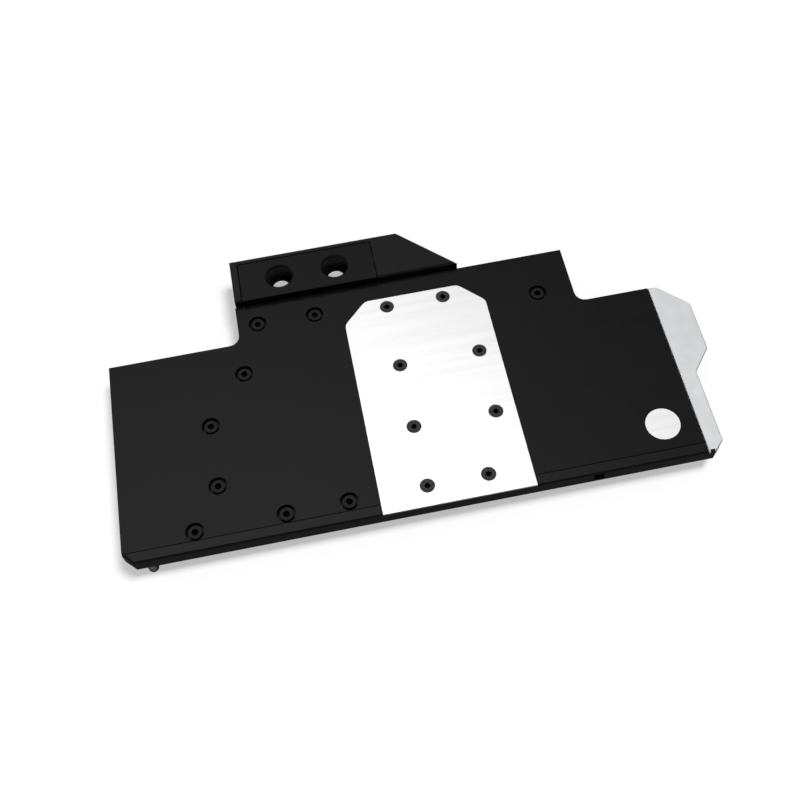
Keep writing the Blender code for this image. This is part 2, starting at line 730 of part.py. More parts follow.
def top_edge_cuts():
    """Wedges that chamfer the front edge and the cut front left corner."""
    size = FRONT_CHAMFER + CUT_OVER
    wedge = [Vector((-CUT_OVER, -size)), Vector((size, CUT_OVER)), Vector((-CUT_OVER, CUT_OVER))]
    corner = (TOP_LEFT + CORNER_CUT, TOP_FRONT, TOP_Z - STRIP_STEP - STRIP_FALL)
    front = prism(wedge, 0, TOP_RIGHT - corner[0])
    diagonal = prism(wedge, -2 * CORNER_CUT, CUT_OVER)
    return [
        placed(front, corner, ALONG_FRONT),
        placed(diagonal, corner, Matrix.Rotation(math.radians(-45), 3, "Z") @ ALONG_FRONT),
    ]


def make_cover_plate(material):
    sheet = prism(cover_outline(0, TOP_FRONT + COVER_FRONT_INSET), COVER_UNDER_Z, TOP_Z)
    plate = add_object("cover_plate", to_mesh("cover_plate", sheet), material)
    low, high = COVER_UNDER_Z - CUT_OVER, TOP_Z + CUT_OVER
    mouth = HEAD_RADIUS + SEAT_GAP
    profile = [(0, low), (mouth - (TOP_Z - low), low), (mouth + CUT_OVER, high), (0, high)]
    holes = [placed(turned(profile, SCREW_SEGMENTS), (x, y, 0)) for x, y in cover_screw_places()]
    return smooth(carve(plate, holes))


def make_end_plate(material):
    shape = prism(rounded(end_outline(0, TOP_RIGHT + SEAT_GAP)), END_UNDER_Z, END_TOP_Z)
    break_edges(shape, END_BEVEL, level_edge(END_TOP_Z))
    plate = add_object("end_plate", to_mesh("end_plate", shape), material)
    notch = prism(tab_outline(SEAT_GAP), END_UNDER_Z - CUT_OVER, END_TOP_Z + CUT_OVER)
    return smooth(carve(plate, [notch]))


def make_badge(material):
    top = TOP_Z + BADGE_PROUD
    under = top - BADGE_THICK
    rim, side = BADGE_RADIUS - BADGE_BREAK, top - BADGE_BREAK
    profile = [(0, under), (BADGE_RADIUS, under), (BADGE_RADIUS, side), (rim, top), (0, top)]
    shape = turned(profile, PORT_SEGMENTS)
    return smooth(add_object("badge", to_mesh("badge", shape), material, (BADGE_X, BADGE_Y, 0)))


def screw_mesh(name, profile, socket_top, material):
    """Turned screw about Z with a hexagon socket in its head."""
    thing = add_object(name, to_mesh(name, turned(profile, SCREW_SEGMENTS)), material)
    carve(thing, [prism(hexagon(SOCKET_ACROSS), socket_top - SOCKET_DEPTH, socket_top + CUT_OVER)])
    mesh = settled_mesh(thing)
    mesh.name = name
    group = thing.modifiers[0].collection
    for cutter in list(group.objects):
        bpy.data.objects.remove(cutter, do_unlink=True)
    bpy.data.collections.remove(group)
    bpy.data.objects.remove(thing, do_unlink=True)
    return mesh


def cap_screw_mesh(name, length, material):
    """Low-head cap screw, with z = 0 under its head."""
    top = HEAD_HEIGHT
    profile = [
        (0, -length),
        (THREAD_RADIUS, -length),
        (THREAD_RADIUS, 0),
        (HEAD_RADIUS, 0),
        (HEAD_RADIUS, top - HEAD_BREAK),
        (HEAD_RADIUS - HEAD_BREAK, top),
        (0, top),
    ]
    return screw_mesh(name, profile, top, material)


def countersunk_screw_mesh(name, length, material):
    """Countersunk screw, with z = 0 at the top of its head."""
    neck = -COUNTERSINK_HEIGHT
    profile = [(0, -length), (THREAD_RADIUS, -length), (THREAD_RADIUS, neck), (HEAD_RADIUS, 0), (0, 0)]
    return screw_mesh(name, profile, 0.0, material)


def make_screws(material):
    cap = cap_screw_mesh("top_screw", TOP_SCREW_LENGTH, material)
    sunk = countersunk_screw_mesh("cover_screw", COVER_SCREW_LENGTH, material)
    long = cap_screw_mesh("terminal_screw", TERMINAL_SCREW_LENGTH, material)
    screws = []
    for number, (x, y) in enumerate(TOP_SCREWS, 1):
        screws.append(add_object(f"top_screw_{number}", cap, material, (x, y, TOP_SCREW_SEAT_Z)))
    for number, (x, y) in enumerate(cover_screw_places(), 1):
        screws.append(add_object(f"cover_screw_{number}", sunk, material, (x, y, TOP_Z)))
    for number, x in enumerate(terminal_screw_places(), 1):
        seat = (x, BLOCK_BACK - TERMINAL_WELL_DEPTH + SEAT_GAP, TOP_MIDDLE_Z)
        screw = add_object(f"terminal_screw_{number}", long, material, seat)
        screw.rotation_euler = TO_BACK.to_euler()
        screws.append(screw)
    for screw in screws:
        smooth(screw)
    return screws


def make_cold_plate(material):
    front, back = TOP_FRONT + COLD_FRONT_INSET, TOP_BACK - COLD_INSET
    step_x, step_y = STEP_LEFT_X + COLD_INSET, STEP_LEFT_Y - COLD_INSET
    outline = rounded(
        [
            (COLD_LEFT, front, COLD_ROUND),
            (COLD_RIGHT, front, COLD_ROUND),
            (COLD_RIGHT, back, COLD_ROUND),
            (step_x, back, COLD_ROUND),
            (step_x, step_y, STEP_FILLET + COLD_INSET),
            (COLD_LEFT, step_y, COLD_ROUND),
        ]
    )
    shape = prism(outline, COLD_BOTTOM_Z, COLD_TOP_Z)
    plate = add_object("cold_plate", to_mesh("cold_plate", shape), material)
    carve(plate, cold_plate_lands(), "UNION")
    carve(plate, [*fin_cuts(), *cold_hole_cuts(), choke_pocket()])
    return smooth(plate)


def cold_plate_lands():
    """Raised contact faces on the underside: chip, memory on three sides and power stages."""
    inside = COLD_BOTTOM_Z + CUT_OVER
    half, length, width = CHIP_LAND / 2, MEMORY_LAND_LENGTH / 2, MEMORY_LAND_WIDTH / 2
    lands = [prism(rectangle(-half, -half, half, half, CHIP_LAND_ROUND), 0, inside)]
    offset = MEMORY_LAND_OFFSET
    low = COLD_BOTTOM_Z - MEMORY_LAND_HEIGHT
    memory = [(0, offset, length, width), (0, -offset, length, width), (offset, 0, width, length)]
    for x, y, half_x, half_y in memory:
        outline = rectangle(x - half_x, y - half_y, x + half_x, y + half_y, CHIP_LAND_ROUND)
        lands.append(prism(outline, low, inside))
    low = COLD_BOTTOM_Z - POWER_LAND_HEIGHT
    for x in POWER_LAND_X:
        lands.append(prism(power_outline(x, POWER_LAND_WIDTH), low, inside))
    return lands


def power_outline(x, width):
    """Long field of the power stages, centred on x."""
    return rectangle(x - width / 2, POWER_LAND_FRONT, x + width / 2, POWER_LAND_BACK, CHIP_LAND_ROUND)


def choke_pocket():
    outline = power_outline(CHOKE_POCKET_X, CHOKE_POCKET_WIDTH)
    return prism(outline, COLD_BOTTOM_Z - CUT_OVER, COLD_BOTTOM_Z + CHOKE_POCKET_DEPTH)


def fin_cuts():
    """Recess for the jet plate and the gaps that leave the fins standing."""
    recess = rectangle(-FIN_HALF_X, -FIN_HALF_Y, FIN_HALF_X, FIN_HALF_Y)
    cuts = [prism(recess, FIN_TOP_Z, COLD_TOP_Z + CUT_OVER)]
    count = math.floor(2 * (FIN_HALF_X - FIN_GAP) / FIN_PITCH)
    first = -(count - 1) * FIN_PITCH / 2
    floor = FIN_TOP_Z - FIN_HEIGHT
    for number in range(count):
        x = first + number * FIN_PITCH
        gap = rectangle(x - FIN_GAP / 2, -FIN_HALF_Y + FIN_GAP, x + FIN_GAP / 2, FIN_HALF_Y - FIN_GAP)
        cuts.append(prism(gap, floor, FIN_TOP_Z + CUT_OVER / 2))
    return cuts


def cold_hole_cuts():
    """Blind holes for the screws from above and for the standoffs from below."""
    above, below = COLD_TOP_Z + CUT_OVER, COLD_BOTTOM_Z - CUT_OVER
    depths = [(place, TOP_SCREW_TIP_Z) for place in TOP_SCREWS]
    depths += [(place, COVER_SCREW_TIP_Z) for place in cover_screw_places()]
    cuts = [
        stepped_hole(x, y, [(SCREW_HOLE_RADIUS, above), (0, tip - TIP_ROOM)], SCREW_SEGMENTS)
        for (x, y), tip in depths
    ]
    stud_top = COLD_BOTTOM_Z + STANDOFF_STUD_LENGTH
    cuts += [
        stepped_hole(x, y, [(STUD_HOLE_RADIUS, stud_top), (0, below)], HIDDEN_SEGMENTS)
        for x, y in chip_standoff_places() + CARD_STANDOFFS
    ]
    return cuts


def make_jet_plate(material):
    half_x = FIN_HALF_X - SEAT_GAP
    sheet = prism(rectangle(-half_x, -JET_HALF_Y, half_x, JET_HALF_Y), JET_Z, COLD_TOP_Z)
    plate = add_object("jet_plate", to_mesh("jet_plate", sheet), material)
    left, right = PLENUM_LEFT + JET_SLIT_INSET, PLENUM_RIGHT - JET_SLIT_INSET
    half = JET_SLIT_WIDTH / 2
    slit = prism(rectangle(left, -half, right, half, half * 0.98), JET_Z - CUT_OVER, COLD_TOP_Z + CUT_OVER)
    return smooth(carve(plate, [slit]))


def make_main_gasket(material):
    middle = COLD_TOP_Z + SEAL_GAP + GASKET_RADIUS
    shape = swept_loop(gasket_path(), circle_section(GASKET_RADIUS, middle))
    return smooth(add_object("main_gasket", to_mesh("main_gasket", shape), material))


def port_gasket_path():
    """Oval centre line of a port gasket, about the middle of its slot."""
    half_x = SLOT_LENGTH / 2 + PORT_GROOVE_OFFSET
    half_z = SLOT_HEIGHT / 2 + PORT_GROOVE_OFFSET
    return rectangle(-half_x, -half_z, half_x, half_z, half_z * 0.85)


def make_port_gaskets(material):
    middle = TOP_BACK + SEAL_GAP + PORT_GASKET_RADIUS
    gaskets = []
    for number, (x, _) in enumerate(port_places(), 1):
        name = f"port_gasket_{number}"
        shape = swept_loop(port_gasket_path(), circle_section(PORT_GASKET_RADIUS, middle))
        placed(shape, (x, 0, TOP_MIDDLE_Z), TO_BACK)
        gaskets.append(smooth(add_object(name, to_mesh(name, shape), material)))
    return gaskets


def magnet_places():
    """Y and Z of the magnets at the seam between block and wing."""
    z = (TOP_BOTTOM_Z + TERMINAL_Z) / 2
    return [(BLOCK_FRONT + MAGNET_FROM_EDGE, z), (BLOCK_BACK - MAGNET_FROM_EDGE, z)]


def magnet_pockets(face_x, direction):
    """Round pockets sunk from an upright face at face_x, in the given X direction."""
    near, far = -CUT_OVER * direction, (MAGNET_THICK + SEAT_GAP) * direction
    low, high = sorted((near, far))
    profile = [(0, low), (MAGNET_POCKET_RADIUS, low), (MAGNET_POCKET_RADIUS, high), (0, high)]
    return [placed(turned(profile, HIDDEN_SEGMENTS), (face_x, y, z), TO_SIDE) for y, z in magnet_places()]


def make_magnets(material):
    """Two discs in the block and two in the wing, each flush with its side of the seam."""
    profile = [(0, 0), (MAGNET_RADIUS, 0), (MAGNET_RADIUS, MAGNET_THICK), (0, MAGNET_THICK)]
    mesh = to_mesh("magnet", turned(profile, HIDDEN_SEGMENTS))
    sides = {"block_magnet": BLOCK_RIGHT - MAGNET_THICK, "cover_magnet": BLOCK_RIGHT + COVER_SEAM}
    magnets = []
    for label, x in sides.items():
        for number, (y, z) in enumerate(magnet_places(), 1):
            magnet = add_object(f"{label}_{number}", mesh, material, (x, y, z))
            magnet.rotation_euler = TO_SIDE.to_euler()
            magnets.append(smooth(magnet))
    return magnets


def make_terminal_block(material):
    outline = rectangle(BLOCK_LEFT, BLOCK_FRONT, BLOCK_RIGHT, BLOCK_BACK)
    shape = prism(outline, TOP_BOTTOM_Z, TERMINAL_Z)
    break_edges(shape, BLOCK_BREAK, level_edge(TERMINAL_Z))
    block = add_object("terminal_block", to_mesh("terminal_block", shape), material)
    chamfer = PORT_MOUTH_RADIUS - PORT_RADIUS
    over = PORT_MOUTH_RADIUS + CUT_OVER
    port = [
        (0, TOP_BOTTOM_Z - CUT_OVER),
        (over, TOP_BOTTOM_Z - CUT_OVER),
        (PORT_RADIUS, TOP_BOTTOM_Z + chamfer),
        (PORT_RADIUS, TERMINAL_Z - chamfer),
        (over, TERMINAL_Z + CUT_OVER),
        (0, TERMINAL_Z + CUT_OVER),
    ]
    floor = TOP_BACK + 2 * (PORT_GASKET_RADIUS + SEAL_GAP)
    half_width = PORT_GASKET_RADIUS + PORT_GROOVE_SIDE_ROOM
    cuts = []
    for x, y in port_places():
        cuts.append(placed(turned(port, PORT_SEGMENTS), (x, y, 0)))
        cuts.append(slot_cutter(x, BLOCK_FRONT - CUT_OVER, y))
        groove = swept_loop(port_gasket_path(), box_section(half_width, BLOCK_FRONT - CUT_OVER, floor))
        cuts.append(placed(groove, (x, 0, TOP_MIDDLE_Z), TO_BACK))
    well = BLOCK_BACK - TERMINAL_WELL_DEPTH
    profile = [
        (0, BLOCK_FRONT - CUT_OVER),
        (SCREW_HOLE_RADIUS, BLOCK_FRONT - CUT_OVER),
        (SCREW_HOLE_RADIUS, well),
        (TERMINAL_WELL_RADIUS, well),
        (TERMINAL_WELL_RADIUS, BLOCK_BACK + CUT_OVER),
        (0, BLOCK_BACK + CUT_OVER),
    ]
    for x in terminal_screw_places():
        cuts.append(placed(turned(profile, SCREW_SEGMENTS), (x, 0, TOP_MIDDLE_Z), TO_BACK))
    cuts += magnet_pockets(BLOCK_RIGHT, -1)
    return smooth(carve(block, cuts))


def make_terminal_cover(material):
    left = BLOCK_LEFT - COVER_SEAM - WALL_LEFT
    right = BLOCK_RIGHT + COVER_SEAM + WING_LENGTH
    front = BLOCK_FRONT + WING_FRONT_GAP
    back = BLOCK_BACK + COVER_SEAM + WALL_BACK
    outline = rounded([(left, front, 0), (right, front, 0), (right - WING_SLANT, back, 0), (left, back, 0)])
    shape = prism(outline, TOP_BOTTOM_Z, TERMINAL_Z)
    on_top = level_edge(TERMINAL_Z)

    def meets_tip(edge):
        return on_top(edge) and any(same(vert.co.x, right) for vert in edge.verts)

    def left_or_back(edge):
        on_left = all(same(vert.co.x, left) for vert in edge.verts)
        return on_top(edge) and (on_left or all(same(vert.co.y, back) for vert in edge.verts))

    break_edges(shape, WING_EDGE_BREAK, meets_tip)
    break_edges(shape, COVER_EDGE_BREAK, left_or_back)
    cover = add_object("terminal_cover", to_mesh("terminal_cover", shape), material)
    seam_right = BLOCK_RIGHT + COVER_SEAM
    room = rectangle(BLOCK_LEFT - COVER_SEAM, front - CUT_OVER, seam_right, BLOCK_BACK + COVER_SEAM)
    cuts = [prism(room, TOP_BOTTOM_Z - CUT_OVER, TERMINAL_Z + CUT_OVER)]
    cuts.append(wing_hollow(seam_right + MAGNET_BOSS, right, front, back))
    cuts += magnet_pockets(seam_right, 1)
    return smooth(carve(cover, cuts))


def wing_hollow(near, right, front, back):
    """Hollow milled into the wing from below, with an even wall round it."""
    low, high = front + WING_SKIN, back - WING_SKIN
    slant = Vector((-WING_SLANT, back - front)).normalized()
    inward = Vector((-slant.y, slant.x)) * WING_SKIN
    tip = Vector((right, front)) + inward
    along_low, along_high = (low - tip.y) / slant.y, (high - tip.y) / slant.y
    outline = [
        (near, low, CHANNEL_ROUND),
        (tip.x + slant.x * along_low, low, CHANNEL_ROUND),
        (tip.x + slant.x * along_high, high, CHANNEL_ROUND),
        (near, high, CHANNEL_ROUND),
    ]
    return prism(rounded(outline), TOP_BOTTOM_Z - CUT_OVER, TERMINAL_Z - WING_SKIN)


def standoff_mesh(name, seat_z):
    """Tapped round standoff from the card's face to its seat, with a stud on top."""
    bore_top = CARD_Z + STANDOFF_BORE_DEPTH
    shoulder = seat_z - SEAT_GAP
    stud_top = seat_z + STANDOFF_STUD_LENGTH - SEAT_GAP
    profile = [
        (0, bore_top),
        (STANDOFF_BORE_RADIUS, bore_top),
        (STANDOFF_BORE_RADIUS, CARD_Z),
        (STANDOFF_RADIUS, CARD_Z),
        (STANDOFF_RADIUS, shoulder),
        (STANDOFF_STUD_RADIUS, shoulder),
        (STANDOFF_STUD_RADIUS, stud_top),
        (0, stud_top),
    ]
    return to_mesh(name, turned(profile, HIDDEN_SEGMENTS))


def make_standoffs(material):
    short = standoff_mesh("standoff", COLD_BOTTOM_Z)
    tall = standoff_mesh("corner_standoff", TOP_BOTTOM_Z)
    groups = [
        ("chip_standoff", short, chip_standoff_places()),
        ("card_standoff", short, CARD_STANDOFFS),
        ("corner_standoff", tall, corner_standoff_places()),
    ]
    standoffs = []
    for label, mesh, places in groups:
        for number, (x, y) in enumerate(places, 1):
            standoffs.append(smooth(add_object(f"{label}_{number}", mesh, material, (x, y, 0))))
    return standoffs


def main():
    clear_scene()
    acetal = finish("black_acetal", (0.012, 0.012, 0.012), 0.42, 0.0)
    steel = finish("brushed_steel", (0.82, 0.82, 0.83), 0.28, 1.0)
    satin = finish("satin_nickel", (0.70, 0.71, 0.73), 0.35, 1.0)
    nickel = finish("nickel_plating", (0.66, 0.64, 0.60), 0.18, 1.0)
    black_steel = finish("blackened_steel", (0.035, 0.035, 0.037), 0.40, 1.0)
    rubber = finish("black_rubber", (0.015, 0.015, 0.015), 0.75, 0.0)

    pieces = [make_top_plate(acetal), make_cover_plate(steel), make_end_plate(satin), make_badge(steel)]
    pieces += [make_cold_plate(nickel), make_jet_plate(steel), make_main_gasket(rubber)]
    pieces += [make_terminal_block(acetal), make_terminal_cover(acetal)]
    pieces += make_port_gaskets(rubber) + make_magnets(nickel)
    pieces += make_screws(black_steel) + make_standoffs(nickel)

    block = bpy.data.objects.new("water_block", None)
    bpy.context.scene.collection.objects.link(block)
    for piece in pieces:
        piece.parent = block


main()
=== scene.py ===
"""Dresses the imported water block: finishes for its plates, smooth fasteners and threads, studio and camera."""

import json
import logging
import math
from collections.abc import Callable
from dataclasses import dataclass, field
from enum import Enum

import bmesh
import bpy
from mathutils import Matrix, Vector


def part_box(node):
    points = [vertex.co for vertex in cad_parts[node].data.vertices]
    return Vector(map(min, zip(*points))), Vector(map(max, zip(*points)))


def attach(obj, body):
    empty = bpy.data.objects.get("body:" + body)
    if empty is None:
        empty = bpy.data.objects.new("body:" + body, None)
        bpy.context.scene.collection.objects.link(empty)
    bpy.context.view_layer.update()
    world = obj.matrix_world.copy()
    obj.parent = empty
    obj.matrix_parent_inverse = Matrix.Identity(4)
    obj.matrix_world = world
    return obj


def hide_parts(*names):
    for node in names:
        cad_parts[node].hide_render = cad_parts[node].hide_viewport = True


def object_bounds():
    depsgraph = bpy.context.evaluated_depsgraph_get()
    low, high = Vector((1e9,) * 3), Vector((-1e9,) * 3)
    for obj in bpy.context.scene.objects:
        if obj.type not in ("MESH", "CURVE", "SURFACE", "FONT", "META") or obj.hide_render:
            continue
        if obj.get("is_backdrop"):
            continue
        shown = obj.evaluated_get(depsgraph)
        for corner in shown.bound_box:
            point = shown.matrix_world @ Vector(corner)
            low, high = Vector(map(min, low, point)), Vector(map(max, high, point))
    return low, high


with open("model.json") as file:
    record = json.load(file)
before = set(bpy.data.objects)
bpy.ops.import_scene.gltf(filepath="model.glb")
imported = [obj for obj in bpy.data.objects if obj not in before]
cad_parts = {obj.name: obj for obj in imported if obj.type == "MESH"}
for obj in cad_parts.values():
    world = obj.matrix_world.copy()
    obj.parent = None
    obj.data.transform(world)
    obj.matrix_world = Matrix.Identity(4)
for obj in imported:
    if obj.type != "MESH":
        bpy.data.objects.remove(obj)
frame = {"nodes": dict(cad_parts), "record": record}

MM = 0.001
LOG = logging.getLogger("water_block")
Colour = tuple[float, float, float]


class Grain(Enum):
    """Which way the fine lines of a finish run."""

    ALONG_X = (0.05, 1.0, 1.0)
    ALONG_Z = (1.0, 1.0, 0.06)
    EVEN = (1.0, 1.0, 1.0)


class Side(Enum):
    """Which end faces of a turned blank are meant."""

    TOP = 1.0
    BOTTOM = -1.0


# Finishes


class FinishSheet:
    """The node tree of one finish, with short calls for the nodes that the finishes share."""

    def __init__(self, name: str) -> None:
        """Starts a material with its shader and output.

        Args:
            name: The material's name.
        """
        self.material = bpy.data.materials.new(name)
        self.material.use_nodes = True
        self.tree = self.material.node_tree
        self.shader = self.tree.nodes["Principled BSDF"]
        self.places = self.tree.nodes.new("ShaderNodeTexCoord").outputs["Object"]

    def constant(self, socket: str, value: float | Colour) -> None:
        """Sets a value that is the same all over the surface.

        Args:
            socket: The shader's socket.
            value: The number, or the linear colour.
        """
        self.shader.inputs[socket].default_value = (*value, 1.0) if isinstance(value, tuple) else value

    def stretched(self, grain: Grain, turn: float = 0.0) -> bpy.types.NodeSocket:
        """Object coordinates, squeezed along the lines of the grain.

        Args:
            grain: The direction of the lines.
            turn: Angle about Z, in radians.

        Returns:
            The vector output.
        """
        node = self.tree.nodes.new("ShaderNodeMapping")
        node.inputs["Scale"].default_value = grain.value
        node.inputs["Rotation"].default_value = (0.0, 0.0, turn)
        self.tree.links.new(self.places, node.inputs["Vector"])
        return node.outputs["Vector"]

    def noise(self, feature: float, detail: float = 3.0, grain: Grain = Grain.EVEN, rough: float = 0.55,
              turn: float = 0.0) -> bpy.types.NodeSocket:
        """Noise with features of a given real size.

        Args:
            feature: Size of the largest features, in metres.
            detail: Octaves.
            grain: Direction in which the features are drawn out.
            rough: How strong the fine octaves are.
            turn: Angle of the grain about Z.

        Returns:
            The factor output.
        """
        node = self.tree.nodes.new("ShaderNodeTexNoise")
        node.inputs["Scale"].default_value = 1.0 / feature
        node.inputs["Detail"].default_value = detail
        node.inputs["Roughness"].default_value = rough
        self.tree.links.new(self.stretched(grain, turn), node.inputs["Vector"])
        return node.outputs["Fac"]

    def ranged(self, value: bpy.types.NodeSocket, low: float, high: float, start: float = 0.3,
               end: float = 0.7) -> bpy.types.NodeSocket:
        """Maps a noise factor to a range of values.

        Args:
            value: The factor.
            low: Result at start.
            high: Result at end.
            start: Factor that gives low.
            end: Factor that gives high.

        Returns:
            The mapped value.
        """
        node = self.tree.nodes.new("ShaderNodeMapRange")
        node.inputs["From Min"].default_value = start
        node.inputs["From Max"].default_value = end
        node.inputs["To Min"].default_value = low
        node.inputs["To Max"].default_value = high
        self.tree.links.new(value, node.inputs["Value"])
        return node.outputs["Result"]

    def tinted(self, value: bpy.types.NodeSocket, dark: Colour, light: Colour, start: float = 0.3,
               end: float = 0.7) -> bpy.types.NodeSocket:
        """Two colours mixed by a noise factor.

        Args:
            value: The factor.
            dark: Linear colour at start.
            light: Linear colour at end.
            start: Factor that gives dark.
            end: Factor that gives light.

        Returns:
            The colour output.
        """
        node = self.tree.nodes.new("ShaderNodeValToRGB")
        first, last = node.color_ramp.elements
        first.position, last.position = start, end
        first.color, last.color = (*dark, 1.0), (*light, 1.0)
        self.tree.links.new(value, node.inputs["Fac"])
        return node.outputs["Color"]

    def summed(self, one: bpy.types.NodeSocket, other: bpy.types.NodeSocket, share: float) -> bpy.types.NodeSocket:
        """One height plus a share of another.

        Args:
            one: The first height.
            other: The second height.
            share: How much of the second is added.

        Returns:
            The sum.
        """
        node = self.tree.nodes.new("ShaderNodeMath")
        node.operation = "MULTIPLY_ADD"
        node.inputs[1].default_value = share
        self.tree.links.new(other, node.inputs[0])
        self.tree.links.new(one, node.inputs[2])
        return node.outputs["Value"]

    def tool_rings(self, spacing: float, centre: tuple[float, float], wobble: float = 0.4) -> bpy.types.NodeSocket:
        """Rings that a turning tool leaves about an upright axis.

        Args:
            spacing: Distance between rings, in metres.
            centre: The axis, as x and y.
            wobble: How far noise upsets the rings.

        Returns:
            The factor output.
        """
        moved = self.tree.nodes.new("ShaderNodeMapping")
        moved.inputs["Location"].default_value = (-centre[0], -centre[1], 0.0)
        moved.inputs["Scale"].default_value = (1.0, 1.0, 0.0)
        self.tree.links.new(self.places, moved.inputs["Vector"])
        node = self.tree.nodes.new("ShaderNodeTexWave")
        node.wave_type, node.rings_direction = "RINGS", "SPHERICAL"
        node.inputs["Scale"].default_value = 0.31416 / spacing
        node.inputs["Distortion"].default_value = wobble
        node.inputs["Detail"].default_value = 2.0
        self.tree.links.new(moved.outputs["Vector"], node.inputs["Vector"])
        return node.outputs["Fac"]

    def relief(self, height: bpy.types.NodeSocket, depth: float, strength: float = 1.0) -> None:
        """Gives the surface a fine relief.

        Args:
            height: Height between 0 and 1.
            depth: What a height of 1 stands for, in metres.
            strength: Share of the relief that is used.
        """
        node = self.tree.nodes.new("ShaderNodeBump")
        node.inputs["Distance"].default_value = depth
        node.inputs["Strength"].default_value = strength
        self.tree.links.new(height, node.inputs["Height"])
        self.into("Normal", node.outputs["Normal"])

    def into(self, socket: str, value: bpy.types.NodeSocket) -> None:
        """Links a value to one of the shader's sockets.

        Args:
            socket: The shader's socket.
            value: What feeds it.
        """
        self.tree.links.new(value, self.shader.inputs[socket])


@dataclass(frozen=True)
class SatinPolymer:
    """Milled black acetal: satin, with faint cutter lines and a slightly cloudy black."""

    name: str = "black_acetal"
    dark: Colour = (0.0022, 0.0022, 0.0024)
    light: Colour = (0.0034, 0.0034, 0.0036)
    shine: float = 0.128
    satin: tuple[float, float] = (0.21, 0.28)
    cutter: float = 0.45 * MM

    def material(self) -> bpy.types.Material:
        """Builds the material."""
        sheet = FinishSheet(self.name)
        clouds = sheet.noise(9.0 * MM, 4.0)
        pores = sheet.noise(0.16 * MM, 2.0)
        lines = sheet.noise(self.cutter, 3.0, Grain.ALONG_X)
        sheet.into("Base Color", sheet.tinted(clouds, self.dark, self.light))
        sheet.into("Roughness", sheet.ranged(sheet.summed(clouds, lines, 0.4), *self.satin, 0.4, 0.95))
        sheet.constant("Specular IOR Level", self.shine)
        sheet.relief(sheet.summed(pores, lines, 0.9), 0.006 * MM, 0.5)
        return sheet.material


@dataclass(frozen=True)
class AnodisedShell:
    """Black anodised aluminium with a fine blasted grain."""

    name: str = "cover_aluminium"
    dark: Colour = (0.003, 0.003, 0.0033)
    light: Colour = (0.0044, 0.0044, 0.0048)
    shine: float = 0.165
    satin: tuple[float, float] = (0.26, 0.36)

    def material(self) -> bpy.types.Material:
        """Builds the material."""
        sheet = FinishSheet(self.name)
        clouds = sheet.noise(12.0 * MM, 3.0)
        blast = sheet.noise(0.12 * MM, 3.0)
        sheet.into("Base Color", sheet.tinted(clouds, self.dark, self.light))
        sheet.into("Roughness", sheet.ranged(blast, *self.satin))
        sheet.constant("Specular IOR Level", self.shine)
        sheet.relief(blast, 0.005 * MM, 0.6)
        return sheet.material


@dataclass(frozen=True)
class BrushedMetal:
    """Bare metal with hair-fine brushed lines and soft wide bands."""

    name: str
    dark: Colour
    light: Colour
    grain: Grain = Grain.ALONG_X
    satin: tuple[float, float] = (0.32, 0.44)
    hair: float = 0.09 * MM
    band: float = 3.5 * MM
    depth: float = 0.003 * MM

    def material(self) -> bpy.types.Material:
        """Builds the material."""
        sheet = FinishSheet(self.name)
        hairs = sheet.noise(self.hair, 3.0, self.grain, 0.7)
        bands = sheet.noise(self.band, 3.0, self.grain)
        both = sheet.summed(bands, hairs, 0.7)
        sheet.into("Base Color", sheet.tinted(both, self.dark, self.light, 0.6, 1.1))
        sheet.into("Roughness", sheet.ranged(hairs, *self.satin))
        sheet.constant("Metallic", 1.0)
        sheet.relief(hairs, self.depth, 0.6)
        return sheet.material


@dataclass(frozen=True)
class BlastedAluminium:
    """Bead-blasted aluminium: bright, matte, with a fine sparkle."""

    name: str = "satin_aluminium"
    dark: Colour = (0.79, 0.796, 0.807)
    light: Colour = (0.85, 0.857, 0.868)
    satin: tuple[float, float] = (0.42, 0.56)

    def material(self) -> bpy.types.Material:
        """Builds the material."""
        sheet = FinishSheet(self.name)
        beads = sheet.noise(0.14 * MM, 2.0)
        clouds = sheet.noise(7.0 * MM, 3.0)
        sheet.into("Base Color", sheet.tinted(sheet.summed(clouds, beads, 0.3), self.dark, self.light, 0.45, 0.85))
        sheet.into("Roughness", sheet.ranged(beads, *self.satin))
        sheet.constant("Metallic", 1.0)
        sheet.relief(beads, 0.006 * MM, 0.7)
        return sheet.material


@dataclass(frozen=True)
class MilledNickel:
    """Nickel plating over milled copper: bright and slightly warm, with the rings of the cutter."""

    name: str = "nickel_plating"
    dark: Colour = (0.58, 0.555, 0.52)
    light: Colour = (0.69, 0.665, 0.63)
    satin: tuple[float, float] = (0.17, 0.3)
    spacing: float = 0.5 * MM
    centre: tuple[float, float] = (0.0, 0.0)

    def material(self) -> bpy.types.Material:
        """Builds the material."""
        sheet = FinishSheet(self.name)
        rings = sheet.tool_rings(self.spacing, self.centre)
        clouds = sheet.noise(14.0 * MM, 3.0)
        fine = sheet.noise(0.2 * MM, 2.0)
        sheet.into("Base Color", sheet.tinted(sheet.summed(clouds, rings, 0.12), self.dark, self.light, 0.4, 0.75))
        sheet.into("Roughness", sheet.ranged(sheet.summed(fine, rings, 0.3), *self.satin, 0.35, 0.95))
        sheet.constant("Metallic", 1.0)
        sheet.relief(sheet.summed(fine, rings, 1.4), 0.002 * MM, 0.6)
        return sheet.material


